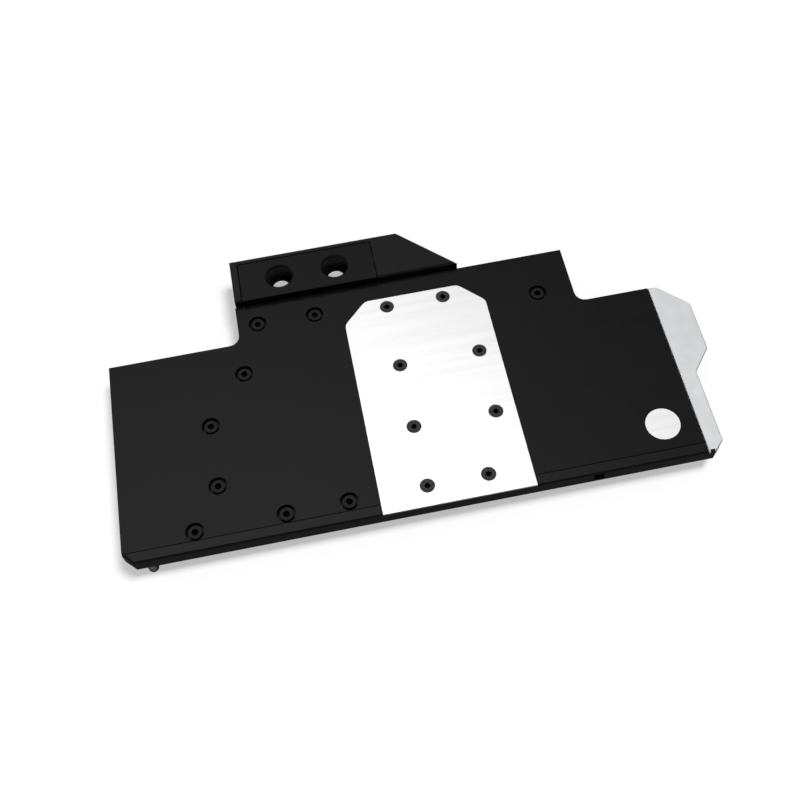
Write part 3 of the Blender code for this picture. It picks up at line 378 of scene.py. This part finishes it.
@dataclass(frozen=True)
class BlackOxide:
    """Blackened screw steel: dark grey, faintly blue, worn a little lighter in places."""

    name: str = "blackened_steel"
    dark: Colour = (0.006, 0.006, 0.0063)
    light: Colour = (0.011, 0.011, 0.0116)
    satin: tuple[float, float] = (0.34, 0.5)
    shine: float = 0.13

    def material(self) -> bpy.types.Material:
        """Builds the material."""
        sheet = FinishSheet(self.name)
        wear = sheet.noise(0.8 * MM, 3.0)
        grit = sheet.noise(0.1 * MM, 2.0)
        sheet.into("Base Color", sheet.tinted(wear, self.dark, self.light, 0.35, 0.75))
        sheet.into("Roughness", sheet.ranged(grit, *self.satin))
        sheet.constant("Specular IOR Level", self.shine)
        sheet.relief(grit, 0.006 * MM, 0.5)
        return sheet.material


@dataclass(frozen=True)
class CordRubber:
    """Matte black rubber cord with a faint mould bloom."""

    name: str = "black_rubber"
    dark: Colour = (0.009, 0.009, 0.009)
    light: Colour = (0.016, 0.016, 0.0165)

    def material(self) -> bpy.types.Material:
        """Builds the material."""
        sheet = FinishSheet(self.name)
        bloom = sheet.noise(2.0 * MM, 4.0)
        skin = sheet.noise(0.25 * MM, 2.0)
        sheet.into("Base Color", sheet.tinted(bloom, self.dark, self.light))
        sheet.into("Roughness", sheet.ranged(skin, 0.6, 0.78))
        sheet.constant("Specular IOR Level", 0.3)
        sheet.relief(skin, 0.01 * MM, 0.6)
        return sheet.material


@dataclass(frozen=True)
class StudioFloor:
    """White floor that keeps the object's shadow: lifted to white for the camera, and darker in reflections."""

    name: str = "studio_floor"
    white: float = 0.6
    to_gloss: float = 0.16
    lift: float = 0.43

    def material(self) -> bpy.types.Material:
        """Builds the material."""
        material = bpy.data.materials.new(self.name)
        material.use_nodes = True
        tree = material.node_tree
        tree.nodes.clear()
        link = tree.links.new
        path = tree.nodes.new("ShaderNodeLightPath")
        shade = tree.nodes.new("ShaderNodeMix")
        shade.data_type = "RGBA"
        shade.inputs[6].default_value = (self.white, self.white, self.white, 1.0)
        shade.inputs[7].default_value = (self.to_gloss, self.to_gloss, self.to_gloss, 1.0)
        link(path.outputs["Is Glossy Ray"], shade.inputs["Factor"])
        diffuse = tree.nodes.new("ShaderNodeBsdfDiffuse")
        link(shade.outputs[2], diffuse.inputs["Color"])
        strength = tree.nodes.new("ShaderNodeMath")
        strength.operation = "MULTIPLY"
        strength.inputs[1].default_value = self.lift
        link(path.outputs["Is Camera Ray"], strength.inputs[0])
        lifted = tree.nodes.new("ShaderNodeEmission")
        link(strength.outputs["Value"], lifted.inputs["Strength"])
        both = tree.nodes.new("ShaderNodeAddShader")
        out = tree.nodes.new("ShaderNodeOutputMaterial")
        link(diffuse.outputs["BSDF"], both.inputs[0])
        link(lifted.outputs["Emission"], both.inputs[1])
        link(both.outputs["Shader"], out.inputs["Surface"])
        return material


# Modelling


class Bench:
    """Steps for modelling one piece with Blender's operators."""

    def __init__(self, name: str) -> None:
        """Starts a piece.

        Args:
            name: The finished piece's name.
        """
        self.name = name
        self.piece: bpy.types.Object | None = None

    @staticmethod
    def clear() -> None:
        """Deselects every object."""
        bpy.ops.object.select_all(action="DESELECT")

    def cylinder(self, radius: float, low: Vector, height: float, sides: int) -> None:
        """Adds an upright cylinder as the blank.

        Args:
            radius: Its radius.
            low: Middle of its lower face.
            height: Its height.
            sides: Number of sides.
        """
        self.clear()
        bpy.ops.mesh.primitive_cylinder_add(vertices=sides, radius=radius, depth=height,
                                            location=low + Vector((0, 0, height / 2)))
        self.piece = bpy.context.active_object
        self.piece.name = self.piece.data.name = self.name
        self.settle()

    def settle(self) -> None:
        """Puts the piece's place into its mesh, so that its object lies at the origin."""
        bpy.ops.object.transform_apply(location=True, rotation=True, scale=True)

    def edit(self) -> None:
        """Opens the piece for editing, with nothing selected."""
        bpy.ops.object.mode_set(mode="EDIT")
        bpy.ops.mesh.select_mode(type="FACE")
        bpy.ops.mesh.select_all(action="DESELECT")

    def done(self) -> None:
        """Merges doubles, turns the faces outwards and leaves edit mode."""
        bpy.ops.mesh.select_all(action="SELECT")
        bpy.ops.mesh.remove_doubles(threshold=1e-6)
        bpy.ops.mesh.normals_make_consistent(inside=False)
        bpy.ops.object.mode_set(mode="OBJECT")

    def faces(self, wanted: Callable[[bmesh.types.BMFace], bool]) -> None:
        """Selects only the wanted faces.

        Args:
            wanted: Says whether a face is one of them.
        """
        bpy.ops.mesh.select_mode(type="FACE")
        bpy.ops.mesh.select_all(action="DESELECT")
        shape = bmesh.from_edit_mesh(self.piece.data)
        for face in shape.faces:
            face.select_set(wanted(face))
        bmesh.update_edit_mesh(self.piece.data)

    def edges(self, wanted: Callable[[bmesh.types.BMEdge], bool]) -> None:
        """Selects only the wanted edges.

        Args:
            wanted: Says whether an edge is one of them.
        """
        bpy.ops.mesh.select_mode(type="EDGE")
        bpy.ops.mesh.select_all(action="DESELECT")
        shape = bmesh.from_edit_mesh(self.piece.data)
        for edge in shape.edges:
            edge.select_set(wanted(edge))
        bmesh.update_edit_mesh(self.piece.data)

    def end_face(self, side: Side) -> None:
        """Selects the flat face at one end.

        Args:
            side: Which end.
        """
        shape = bmesh.from_edit_mesh(self.piece.data)
        ends = [face.calc_center_median().z * side.value for face in shape.faces if face.normal.z * side.value > 0.99]
        last = max(ends)
        self.faces(lambda face: face.normal.z * side.value > 0.99
                   and abs(face.calc_center_median().z * side.value - last) < 1e-6)

    def inset(self, width: float) -> None:
        """Insets the selected face."""
        bpy.ops.mesh.inset(thickness=width, use_boundary=True, use_even_offset=True)

    def pull(self, rise: float, centre: Vector, taper: float = 1.0) -> None:
        """Extrudes the selected face up or down, with a taper.

        Args:
            rise: How far up.
            centre: The axis that the taper keeps to.
            taper: Size of the new face, as a share of the old.
        """
        bpy.ops.mesh.extrude_region_move(TRANSFORM_OT_translate={"value": (0, 0, rise)})
        if taper != 1.0:
            bpy.ops.transform.resize(value=(taper, taper, 1.0), center_override=centre)

    def rim(self, centre: Vector, height: float, radius: float, width: float, steps: int = 3) -> None:
        """Rounds a circular edge.

        Args:
            centre: The circle's axis.
            height: The circle's height.
            radius: The circle's radius.
            width: How much is rounded off.
            steps: Number of faces across the rounding.
        """

        def on_rim(edge: bmesh.types.BMEdge) -> bool:
            """Whether both ends lie on the circle."""
            return all(abs(end.co.z - height) < 2e-6 and abs((end.co - centre).xy.length - radius) < 2e-5
                       for end in edge.verts)

        self.edges(on_rim)
        bpy.ops.mesh.bevel(offset=width, segments=steps, affect="EDGES")

    def hollow(self, cutter: "Bench") -> None:
        """Cuts another blank's shape out of the piece.

        Args:
            cutter: The blank that is taken away.
        """
        cut = self.piece.modifiers.new("cut", "BOOLEAN")
        cut.operation, cut.solver, cut.object = "DIFFERENCE", "EXACT", cutter.piece
        self.clear()
        self.piece.select_set(True)
        bpy.context.view_layer.objects.active = self.piece
        bpy.ops.object.modifier_apply(modifier=cut.name)
        bpy.data.objects.remove(cutter.piece, do_unlink=True)

    def smooth(self, degrees: float = 32.0) -> bpy.types.Object:
        """Shades the piece smooth up to an angle, with its large faces kept flat beside their roundings.

        Args:
            degrees: Edges sharper than this stay sharp.

        Returns:
            The finished object.
        """
        self.clear()
        self.piece.select_set(True)
        bpy.context.view_layer.objects.active = self.piece
        bpy.ops.object.shade_smooth_by_angle(angle=math.radians(degrees))
        flat = self.piece.modifiers.new("flat", "WEIGHTED_NORMAL")
        flat.keep_sharp = True
        bpy.ops.object.modifier_apply(modifier=flat.name)
        return self.piece


def copied(model: bpy.types.Object, name: str, start: Vector, place: Vector, turn: float) -> bpy.types.Object:
    """Copies a finished piece to another place, with its own mesh.

    Args:
        model: The piece that is copied.
        name: The copy's name.
        start: The model's middle.
        place: The copy's middle.
        turn: Angle by which the copy is turned about its own upright axis.

    Returns:
        The copy.
    """
    Bench.clear()
    model.select_set(True)
    bpy.context.view_layer.objects.active = model
    bpy.ops.object.duplicate(linked=False)
    twin = bpy.context.active_object
    twin.name = twin.data.name = name
    twin.data.transform(Matrix.Translation(place) @ Matrix.Rotation(turn, 4, "Z") @ Matrix.Translation(-start))
    return twin


def fitted(piece: bpy.types.Object, material: bpy.types.Material, slot: str, *nodes: str) -> None:
    """Dresses a new piece and ties it to the frame.

    Args:
        piece: The finished piece.
        material: Its finish.
        slot: The record's slot that the finish stands for.
        nodes: The CAD nodes that the piece stands for.
    """
    if piece.data.materials:
        piece.data.materials[0] = material
    else:
        piece.data.materials.append(material)
    if nodes:
        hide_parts(*nodes)
    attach(piece, "root")
    LOG.info("%s: %d faces, %s", piece.name, len(piece.data.polygons), slot)


def dressed(node: str, material: bpy.types.Material) -> None:
    """Gives a CAD node its finish.

    Args:
        node: The node's name.
        material: The finish.
    """
    thing = frame["nodes"][node]
    if not thing.material_slots:
        thing.data.materials.append(material)
    for slot in thing.material_slots:
        slot.material = material
    LOG.info("%s: %s", node, material.name)


def middle_and_top(node: str) -> tuple[Vector, float, float]:
    """Where a turned CAD node stands.

    Args:
        node: The node's name.

    Returns:
        The middle of its upper end, its radius and its height.
    """
    low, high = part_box(node)
    middle = (low + high) / 2
    return Vector((middle.x, middle.y, high.z)), (high.x - low.x) / 2, high.z - low.z


# Sub-assemblies


@dataclass
class Fasteners:
    """The blackened socket screws on the top: cap screws in wells and countersunk screws in the steel plate."""

    finish: BlackOxide = field(default_factory=BlackOxide)
    plate_finish: BlackOxide = BlackOxide("worn_steel", (0.018, 0.0175, 0.0175), (0.031, 0.03, 0.03), (0.34, 0.5), 0.24)
    # near-black finish for the faces inside the sockets: painted shade of the recess
    socket_shade_finish: BlackOxide = BlackOxide("socket_painted_shade", (0.001, 0.001, 0.001), (0.002, 0.002, 0.002), (0.6, 0.8),
                                           0.02)
    head_height: float = 2.0 * MM
    cone_height: float = 1.5 * MM
    lip: float = 0.2 * MM
    thread_radius: float = 1.5 * MM
    rounding: float = 0.28 * MM
    lower_break: float = 0.15 * MM
    plate_break: float = 0.09 * MM
    socket_across: float = 2.5 * MM
    plate_socket_across: float = 2.05 * MM
    socket_depth: float = 1.3 * MM
    socket_break: float = 0.16 * MM
    drill_depth: float = 0.35 * MM
    drill_taper: float = 0.3
    point: float = 0.45 * MM
    point_taper: float = 0.72
    sides: int = 48
    turns: tuple[float, ...] = (0.1, 0.75, 0.4, 0.95, 0.25, 0.6, 0.0, 0.5, 0.85)
    socket_shade_material: bpy.types.Material | None = None

    def build(self) -> None:
        """Models one screw of each kind and copies it to every place."""
        material = self.finish.material()
        self.socket_shade_material = self.socket_shade_finish.material()
        self.row("top_screw", 9, self.cap_screw, material)
        self.row("cover_screw", 8, self.countersunk_screw, self.plate_finish.material())
        for number in range(1, 4):
            dressed(f"terminal_screw_{number}", material)

    def row(self, stem: str, count: int, make: Callable[[str, Vector, float, float], bpy.types.Object],
            material: bpy.types.Material) -> None:
        """Makes the first screw of a kind and copies it to the places of the rest.

        Args:
            stem: The nodes' names without their numbers.
            count: How many there are.
            make: Models one screw.
            material: Their finish.
        """
        start, radius, height = middle_and_top(f"{stem}_1")
        model = make(f"fine_{stem}_1", start, radius, height)
        screws = [model]
        for number in range(2, count + 1):
            place = middle_and_top(f"{stem}_{number}")[0]
            turn = self.turns[number - 1] * math.pi / 3
            screws.append(copied(model, f"fine_{stem}_{number}", start, place, turn))
        for number, screw in enumerate(screws, 1):
            fitted(screw, material, "blackened_steel", f"{stem}_{number}")

    def cap_screw(self, name: str, top: Vector, radius: float, height: float) -> bpy.types.Object:
        """Models a low cap screw.

        Args:
            name: The piece's name.
            top: Middle of the head's upper face.
            radius: The head's radius.
            height: The whole screw's height.

        Returns:
            The piece.
        """
        bench = Bench(name)
        bench.cylinder(radius, top - Vector((0, 0, self.head_height)), self.head_height, self.sides)
        bench.edit()
        bench.rim(top, top.z - self.head_height, radius, self.lower_break, 2)
        bench.end_face(Side.BOTTOM)
        bench.inset(radius - self.lower_break - self.thread_radius)
        self.shank(bench, top, height - self.head_height)
        bench.rim(top, top.z, radius, self.rounding)
        bench.done()
        return self.socketed(bench, top, self.socket_across)

    def countersunk_screw(self, name: str, top: Vector, radius: float, height: float) -> bpy.types.Object:
        """Models a countersunk screw.

        Args:
            name: The piece's name.
            top: Middle of the head's upper face.
            radius: The head's radius.
            height: The whole screw's height.

        Returns:
            The piece.
        """
        bench = Bench(name)
        bench.cylinder(radius, top - Vector((0, 0, self.lip)), self.lip, self.sides)
        bench.edit()
        bench.end_face(Side.BOTTOM)
        bench.pull(self.lip - self.cone_height, top, self.thread_radius / radius)
        self.shank(bench, top, height - self.cone_height)
        bench.rim(top, top.z, radius, self.plate_break, 2)
        bench.done()
        return self.socketed(bench, top, self.plate_socket_across)

    def shank(self, bench: Bench, top: Vector, length: float) -> None:
        """Pulls the shank and its point out of the selected lower face.

        Args:
            bench: The screw.
            top: Middle of the head.
            length: Length of shank and point.
        """
        bench.pull(self.point - length, top)
        bench.pull(-self.point, top, self.point_taper)

    def socketed(self, bench: Bench, top: Vector, across: float) -> bpy.types.Object:
        """Sinks the hexagon socket, with its drill point and broken edge, and gives the faces inside it a near-black
        painted shade.

        Args:
            bench: The screw.
            top: Middle of the head's upper face.
            across: The socket's width across its flats.

        Returns:
            The finished piece.
        """
        corner = across / math.sqrt(3)
        cutter = Bench("socket_cutter")
        cutter.cylinder(corner, top - Vector((0, 0, self.socket_depth)), self.socket_depth + MM, 6)
        cutter.edit()
        cutter.end_face(Side.BOTTOM)
        cutter.pull(-self.drill_depth, top, self.drill_taper)
        cutter.done()
        bench.hollow(cutter)
        bench.edit()
        bench.edges(lambda edge: all(abs(end.co.z - top.z) < 2e-6 and (end.co - top).xy.length < corner * 1.02
                                     for end in edge.verts))
        bpy.ops.mesh.bevel(offset=self.socket_break, segments=2, affect="EDGES")
        bench.done()
        mesh = bench.piece.data
        for _ in range(2):  # the first slot takes the screw's own finish in fitted()
            mesh.materials.append(self.socket_shade_material)
        # faces inside the socket take the near-black finish, a painted shade of the recess
        lowest = self.socket_depth + self.drill_depth + MM / 2
        for face in mesh.polygons:
            below = top.z - face.center.z
            inside = (face.center - top).xy.length < corner + self.socket_break
            face.material_index = int(inside and 1e-6 < below < lowest)
        return bench.smooth()


@dataclass
class Standoffs:
    """Turned round standoffs with a tapped foot, between the block and the card."""

    stud_radius: float = 1.45 * MM
    stud_length: float = 2.7 * MM
    bore_radius: float = 1.05 * MM
    bore_depth: float = 2.2 * MM
    bore_break: float = 0.15 * MM
    bore_point: float = 0.3 * MM
    bore_taper: float = 0.15
    tip_height: float = 0.3 * MM
    tip_taper: float = 0.8
    rounding: float = 0.18 * MM
    turn: float = 0.3
    sides: int = 48
    finish: BrushedMetal = BrushedMetal("nickel_brass", (0.5, 0.49, 0.472), (0.66, 0.648, 0.63), Grain.ALONG_Z,
                                        (0.22, 0.36), 0.12 * MM, 1.5 * MM)

    def build(self) -> None:
        """Models each group's first standoff and copies it to the group's places."""
        material = self.finish.material()
        for stem, count in (("chip_standoff", 4), ("card_standoff", 3), ("corner_standoff", 4)):
            start, radius, height = middle_and_top(f"{stem}_1")
            model = self.standoff(f"fine_{stem}_1", start, radius, height)
            group = [model]
            for number in range(2, count + 1):
                place = middle_and_top(f"{stem}_{number}")[0]
                group.append(copied(model, f"fine_{stem}_{number}", start, place, self.turn * number))
            for number, standoff in enumerate(group, 1):
                fitted(standoff, material, "nickel_brass", f"{stem}_{number}")

    def standoff(self, name: str, top: Vector, radius: float, height: float) -> bpy.types.Object:
        """Models one standoff.

        Args:
            name: The piece's name.
            top: Middle of the stud's end.
            radius: The body's radius.
            height: Height of body and stud.

        Returns:
            The piece.
        """
        body = height - self.stud_length
        foot = top - Vector((0, 0, height))
        bench = Bench(name)
        bench.cylinder(radius, foot, body, self.sides)
        bench.edit()
        bench.end_face(Side.TOP)
        bench.inset(radius - self.stud_radius)
        bench.pull(self.stud_length - self.tip_height, top)
        bench.pull(self.tip_height, top, self.tip_taper)
        bench.end_face(Side.BOTTOM)
        bench.inset(radius - self.bore_radius - self.bore_break)
        bench.pull(self.bore_break, top, self.bore_radius / (self.bore_radius + self.bore_break))
        bench.pull(self.bore_depth - self.bore_break, top)
        bench.pull(self.bore_point, top, self.bore_taper)
        bench.rim(top, foot.z, radius, self.rounding, 2)
        bench.rim(top, foot.z + body, radius, self.rounding, 2)
        bench.done()
        return bench.smooth()


@dataclass
class PortThreads:
    """The pipe threads that show as fine arcs in the two port bores, lighter than the body's acetal as a painted
    highlight, and the ledge at each bore's lower end.
    """

    pitch: float = 1.337 * MM
    ridge: float = 0.42 * MM
    sunk: float = 0.25 * MM
    bore_radius: float = 5.72 * MM
    below_mouth: float = 1.5 * MM
    squeeze: float = 0.9
    turns: int = 6
    steps: int = 64
    smooth_angle: float = 40.0
    collar_radius: float = 4.2 * MM
    collar_height: float = 0.9 * MM
    collar_rise: float = 0.95 * MM
    collar_overlap: float = 0.05 * MM
    collar_break: float = 0.25 * MM
    sides: int = 96
    # the threads' acetal is lighter and shinier than the body's: a painted highlight on the thread crests
    finish: SatinPolymer = SatinPolymer("thread_acetal_painted_highlight", (0.005, 0.005, 0.0053), (0.008, 0.008, 0.0084), 0.4, (0.2, 0.3))

    def build(self, material: bpy.types.Material) -> None:
        """Makes one port's thread and ledge and copies them to the other port.

        Args:
            material: The finish of the ledges, which the terminal has too.
        """
        openings = {entry["name"]: entry["box_m"] for entry in frame["record"]["physics"]["openings"]}
        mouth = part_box("terminal_block")[1].z
        places = []
        for name in ("left_port", "right_port"):
            low, high = openings[name]
            places.append(Vector(((low[0] + high[0]) / 2, (low[1] + high[1]) / 2, mouth)))
        first = self.thread("left_port_thread", places[0])
        second = copied(first, "right_port_thread", places[0], places[1], 0.0)
        collar = self.collar("left_port_collar", places[0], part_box("terminal_block")[0].z)
        twin = copied(collar, "right_port_collar", places[0], places[1], 0.0)
        # lighter acetal for the threads: a painted highlight on their crests
        cut = self.finish.material()
        for piece in (first, second):
            fitted(piece, cut, "black_acetal")
        for piece in (collar, twin):
            fitted(piece, material, "black_acetal")

    def collar(self, name: str, place: Vector, foot: float) -> bpy.types.Object:
        """Turns the ledge that narrows the lower end of a port.

        Args:
            name: The piece's name.
            place: Middle of the port's mouth.
            foot: Height of the block's underside.

        Returns:
            The piece.
        """
        low = Vector((place.x, place.y, foot + self.collar_rise))
        bench = Bench(name)
        bench.cylinder(self.bore_radius + self.collar_overlap, low, self.collar_height, self.sides)
        cutter = Bench("collar_cutter")
        cutter.cylinder(self.collar_radius, low - Vector((0, 0, MM)), self.collar_height + 2 * MM, self.sides)
        bench.hollow(cutter)
        bench.edit()
        for height in (low.z, low.z + self.collar_height):
            bench.rim(low, height, self.collar_radius, self.collar_break, 2)
        bench.done()
        return bench.smooth()

    def thread(self, name: str, place: Vector) -> bpy.types.Object:
        """Winds a ridge along a bore.

        Args:
            name: The piece's name.
            place: Middle of the port's mouth.

        Returns:
            The piece.
        """
        bench = Bench(name)
        bench.clear()
        bpy.ops.mesh.primitive_circle_add(vertices=5, radius=self.ridge, fill_type="NOTHING",
                                          rotation=(math.pi / 2, 0, 0))
        bench.piece = bpy.context.active_object
        bench.piece.name = bench.piece.data.name = name
        bench.settle()
        bench.edit()
        bpy.ops.mesh.select_all(action="SELECT")
        bpy.ops.transform.rotate(value=math.pi / 2, orient_axis="Y", center_override=(0, 0, 0))
        bpy.ops.transform.resize(value=(1.0, 1.0, self.squeeze), center_override=(0, 0, 0))
        bpy.ops.transform.translate(value=(self.bore_radius + self.sunk - self.ridge * 0.3, 0, 0))
        bpy.ops.object.mode_set(mode="OBJECT")
        winding = bench.piece.modifiers.new("winding", "SCREW")
        winding.axis, winding.screw_offset, winding.iterations = "Z", -self.pitch, self.turns
        winding.steps = winding.render_steps = self.steps
        winding.use_merge_vertices = False
        bpy.ops.object.modifier_apply(modifier=winding.name)
        bench.edit()
        bpy.ops.mesh.select_mode(type="EDGE")
        bpy.ops.mesh.select_non_manifold()
        bpy.ops.mesh.fill_holes(sides=0)
        bpy.ops.mesh.select_all(action="SELECT")
        bpy.ops.transform.translate(value=place - Vector((0, 0, self.below_mouth)))
        bench.done()
        return bench.smooth(self.smooth_angle)


@dataclass
class RoundBadge:
    """The bare metal disc let into the top near the end plate."""

    rounding: float = 0.14 * MM
    lower_break: float = 0.08 * MM
    sides: int = 128
    finish: BrushedMetal = BrushedMetal("badge_aluminium", (0.86, 0.86, 0.87), (0.95, 0.95, 0.96), Grain.ALONG_X,
                                        (0.36, 0.46), 0.1 * MM, 2.5 * MM)

    def build(self) -> None:
        """Models the disc over its CAD node."""
        top, radius, height = middle_and_top("badge")
        bench = Bench("badge_disc")
        bench.cylinder(radius, top - Vector((0, 0, height)), height, self.sides)
        bench.edit()
        bench.rim(top, top.z, radius, self.rounding, 3)
        bench.rim(top, top.z - height, radius, self.lower_break, 1)
        bench.done()
        fitted(bench.smooth(), self.finish.material(), "badge_aluminium", "badge")


@dataclass
class Body:
    """The machined plates, seals and magnets, which keep their CAD shapes and get their finishes."""

    acetal: SatinPolymer = field(default_factory=SatinPolymer)
    shell: AnodisedShell = field(default_factory=AnodisedShell)
    steel: BrushedMetal = BrushedMetal("brushed_steel", (0.83, 0.83, 0.835), (0.91, 0.91, 0.915))
    satin: BlastedAluminium = field(default_factory=BlastedAluminium)
    nickel: MilledNickel = field(default_factory=MilledNickel)
    rubber: CordRubber = field(default_factory=CordRubber)
    magnet: BrushedMetal = BrushedMetal("magnet_plating", (0.58, 0.58, 0.6), (0.68, 0.68, 0.7), Grain.EVEN,
                                        (0.12, 0.22), 0.2 * MM, 1.0 * MM, 0.001 * MM)

    def build(self) -> bpy.types.Material:
        """Dresses the nodes.

        Returns:
            The acetal's material, which the port threads share.
        """
        acetal = self.acetal.material()
        steel = self.steel.material()
        rubber = self.rubber.material()
        magnet = self.magnet.material()
        finishes = {
            "top_plate": acetal,
            "terminal_block": acetal,
            "terminal_cover": self.shell.material(),
            "cover_plate": steel,
            "jet_plate": steel,
            "end_plate": self.satin.material(),
            "cold_plate": self.nickel.material(),
            "main_gasket": rubber,
            "port_gasket_1": rubber,
            "port_gasket_2": rubber,
        }
        finishes.update({f"{part}_magnet_{number}": magnet for part in ("cover", "block") for number in (1, 2)})
        for node, material in finishes.items():
            dressed(node, material)
        return acetal


# Studio


@dataclass
class Studio:
    """White floor, a sky with a soft bright patch overhead for reflections, and one wide lamp from the right."""

    floor_size: float = 6.0
    sky: float = 0.25
    gloss_low: float = 0.36
    gloss_high: float = 2.5
    gloss_from: tuple[float, float, float] = (-0.12, 0.2, 0.97)
    gloss_edge: tuple[float, float] = (0.84, 1.0)
    key_strength: float = 2.5
    key_angle: float = 18.0
    key_from: tuple[float, float, float] = (0.33, 0.0, 1.0)
    floor_finish: StudioFloor = field(default_factory=StudioFloor)

    def build(self) -> None:
        """Builds the floor, the sky and the lamp."""
        self.floor()
        self.world()
        self.lamp("key", self.key_strength, self.key_angle, self.key_from)

    def floor(self) -> None:
        """Lays the floor where the card would be."""
        Bench.clear()
        bpy.ops.mesh.primitive_plane_add(size=self.floor_size, location=(0, 0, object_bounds()[0].z - 0.02 * MM))
        floor = bpy.context.active_object
        floor.name = floor.data.name = "floor"
        floor.data.materials.append(self.floor_finish.material())
        floor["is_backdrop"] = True

    def world(self) -> None:
        """Sets the sky: white to the camera, even as a light, and with a soft bright patch in reflections."""
        world = bpy.data.worlds.new("sky")
        bpy.context.scene.world = world
        world.use_nodes = True
        tree = world.node_tree
        tree.nodes.clear()
        link = tree.links.new
        path = tree.nodes.new("ShaderNodeLightPath")
        direction = tree.nodes.new("ShaderNodeTexCoord")
        facing = tree.nodes.new("ShaderNodeVectorMath")
        facing.operation = "DOT_PRODUCT"
        facing.inputs[1].default_value = Vector(self.gloss_from).normalized()
        patch = tree.nodes.new("ShaderNodeMapRange")
        patch.inputs["From Min"].default_value, patch.inputs["From Max"].default_value = self.gloss_edge
        patch.inputs["To Min"].default_value = self.gloss_low
        patch.inputs["To Max"].default_value = self.gloss_high
        link(direction.outputs["Generated"], facing.inputs[0])
        link(facing.outputs["Value"], patch.inputs["Value"])
        for_gloss = tree.nodes.new("ShaderNodeMix")
        for_gloss.inputs[2].default_value = self.sky
        link(path.outputs["Is Glossy Ray"], for_gloss.inputs[0])
        link(patch.outputs["Result"], for_gloss.inputs[3])
        seen = tree.nodes.new("ShaderNodeMath")
        seen.operation = "MAXIMUM"
        link(path.outputs["Is Camera Ray"], seen.inputs[0])
        link(path.outputs["Is Transmission Ray"], seen.inputs[1])
        level = tree.nodes.new("ShaderNodeMix")
        level.inputs[3].default_value = 1.0
        link(seen.outputs["Value"], level.inputs[0])
        link(for_gloss.outputs[0], level.inputs[2])
        sky = tree.nodes.new("ShaderNodeBackground")
        sky.inputs["Color"].default_value = (1.0, 1.0, 1.0, 1.0)
        out = tree.nodes.new("ShaderNodeOutputWorld")
        link(level.outputs[0], sky.inputs["Strength"])
        link(sky.outputs["Background"], out.inputs["Surface"])

    def lamp(self, name: str, strength: float, angle: float, place: tuple[float, float, float]) -> None:
        """Adds a wide soft lamp.

        Args:
            name: The lamp's name.
            strength: Its strength.
            angle: How wide it is, in degrees.
            place: The direction that it shines from.
        """
        data = bpy.data.lights.new(name, "SUN")
        data.energy = strength
        data.angle = math.radians(angle)
        lamp = bpy.data.objects.new(name, data)
        lamp.rotation_mode = "QUATERNION"
        lamp.rotation_quaternion = Vector(place).to_track_quat("Z", "Y")
        lamp.visible_glossy = False
        bpy.context.scene.collection.objects.link(lamp)


@dataclass
class PhotoCamera:
    """The photograph's viewpoint, in the part's frame."""

    place: tuple[float, float, float] = (-49.1 * MM, -232.3 * MM, 421.0 * MM)
    elevation: float = 60.35
    azimuth: float = 6.83
    roll: float = 4.67
    lens: float = 48.39

    def build(self) -> None:
        """Sets the scene's camera."""
        rise, side, roll = (math.radians(angle) for angle in (self.elevation, self.azimuth, self.roll))
        ahead = Vector((math.sin(side) * math.cos(rise), math.cos(side) * math.cos(rise), -math.sin(rise)))
        right = Vector((math.cos(side), -math.sin(side), 0.0))
        down = ahead.cross(right)
        across = right * math.cos(roll) + down * math.sin(roll)
        below = down * math.cos(roll) - right * math.sin(roll)
        data = bpy.data.cameras.new("photo_view")
        data.lens = self.lens
        data.sensor_width = 36.0
        data.clip_start, data.clip_end = 0.01, 50.0
        camera = bpy.data.objects.new("photo_view", data)
        turn = Matrix((across, -below, -ahead)).transposed().to_4x4()
        camera.matrix_world = Matrix.Translation(self.place) @ turn
        bpy.context.scene.collection.objects.link(camera)
        bpy.context.scene.camera = camera


def main() -> None:
    """Builds the scene."""
    logging.basicConfig(level=logging.INFO, format="%(message)s")
    scene = bpy.context.scene
    scene.view_settings.view_transform = "Standard"
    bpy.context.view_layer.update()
    acetal = Body().build()
    PortThreads().build(acetal)
    Fasteners().build()
    RoundBadge().build()
    Standoffs().build()
    Studio().build()
    PhotoCamera().build()


if __name__ == "__main__":
    main()
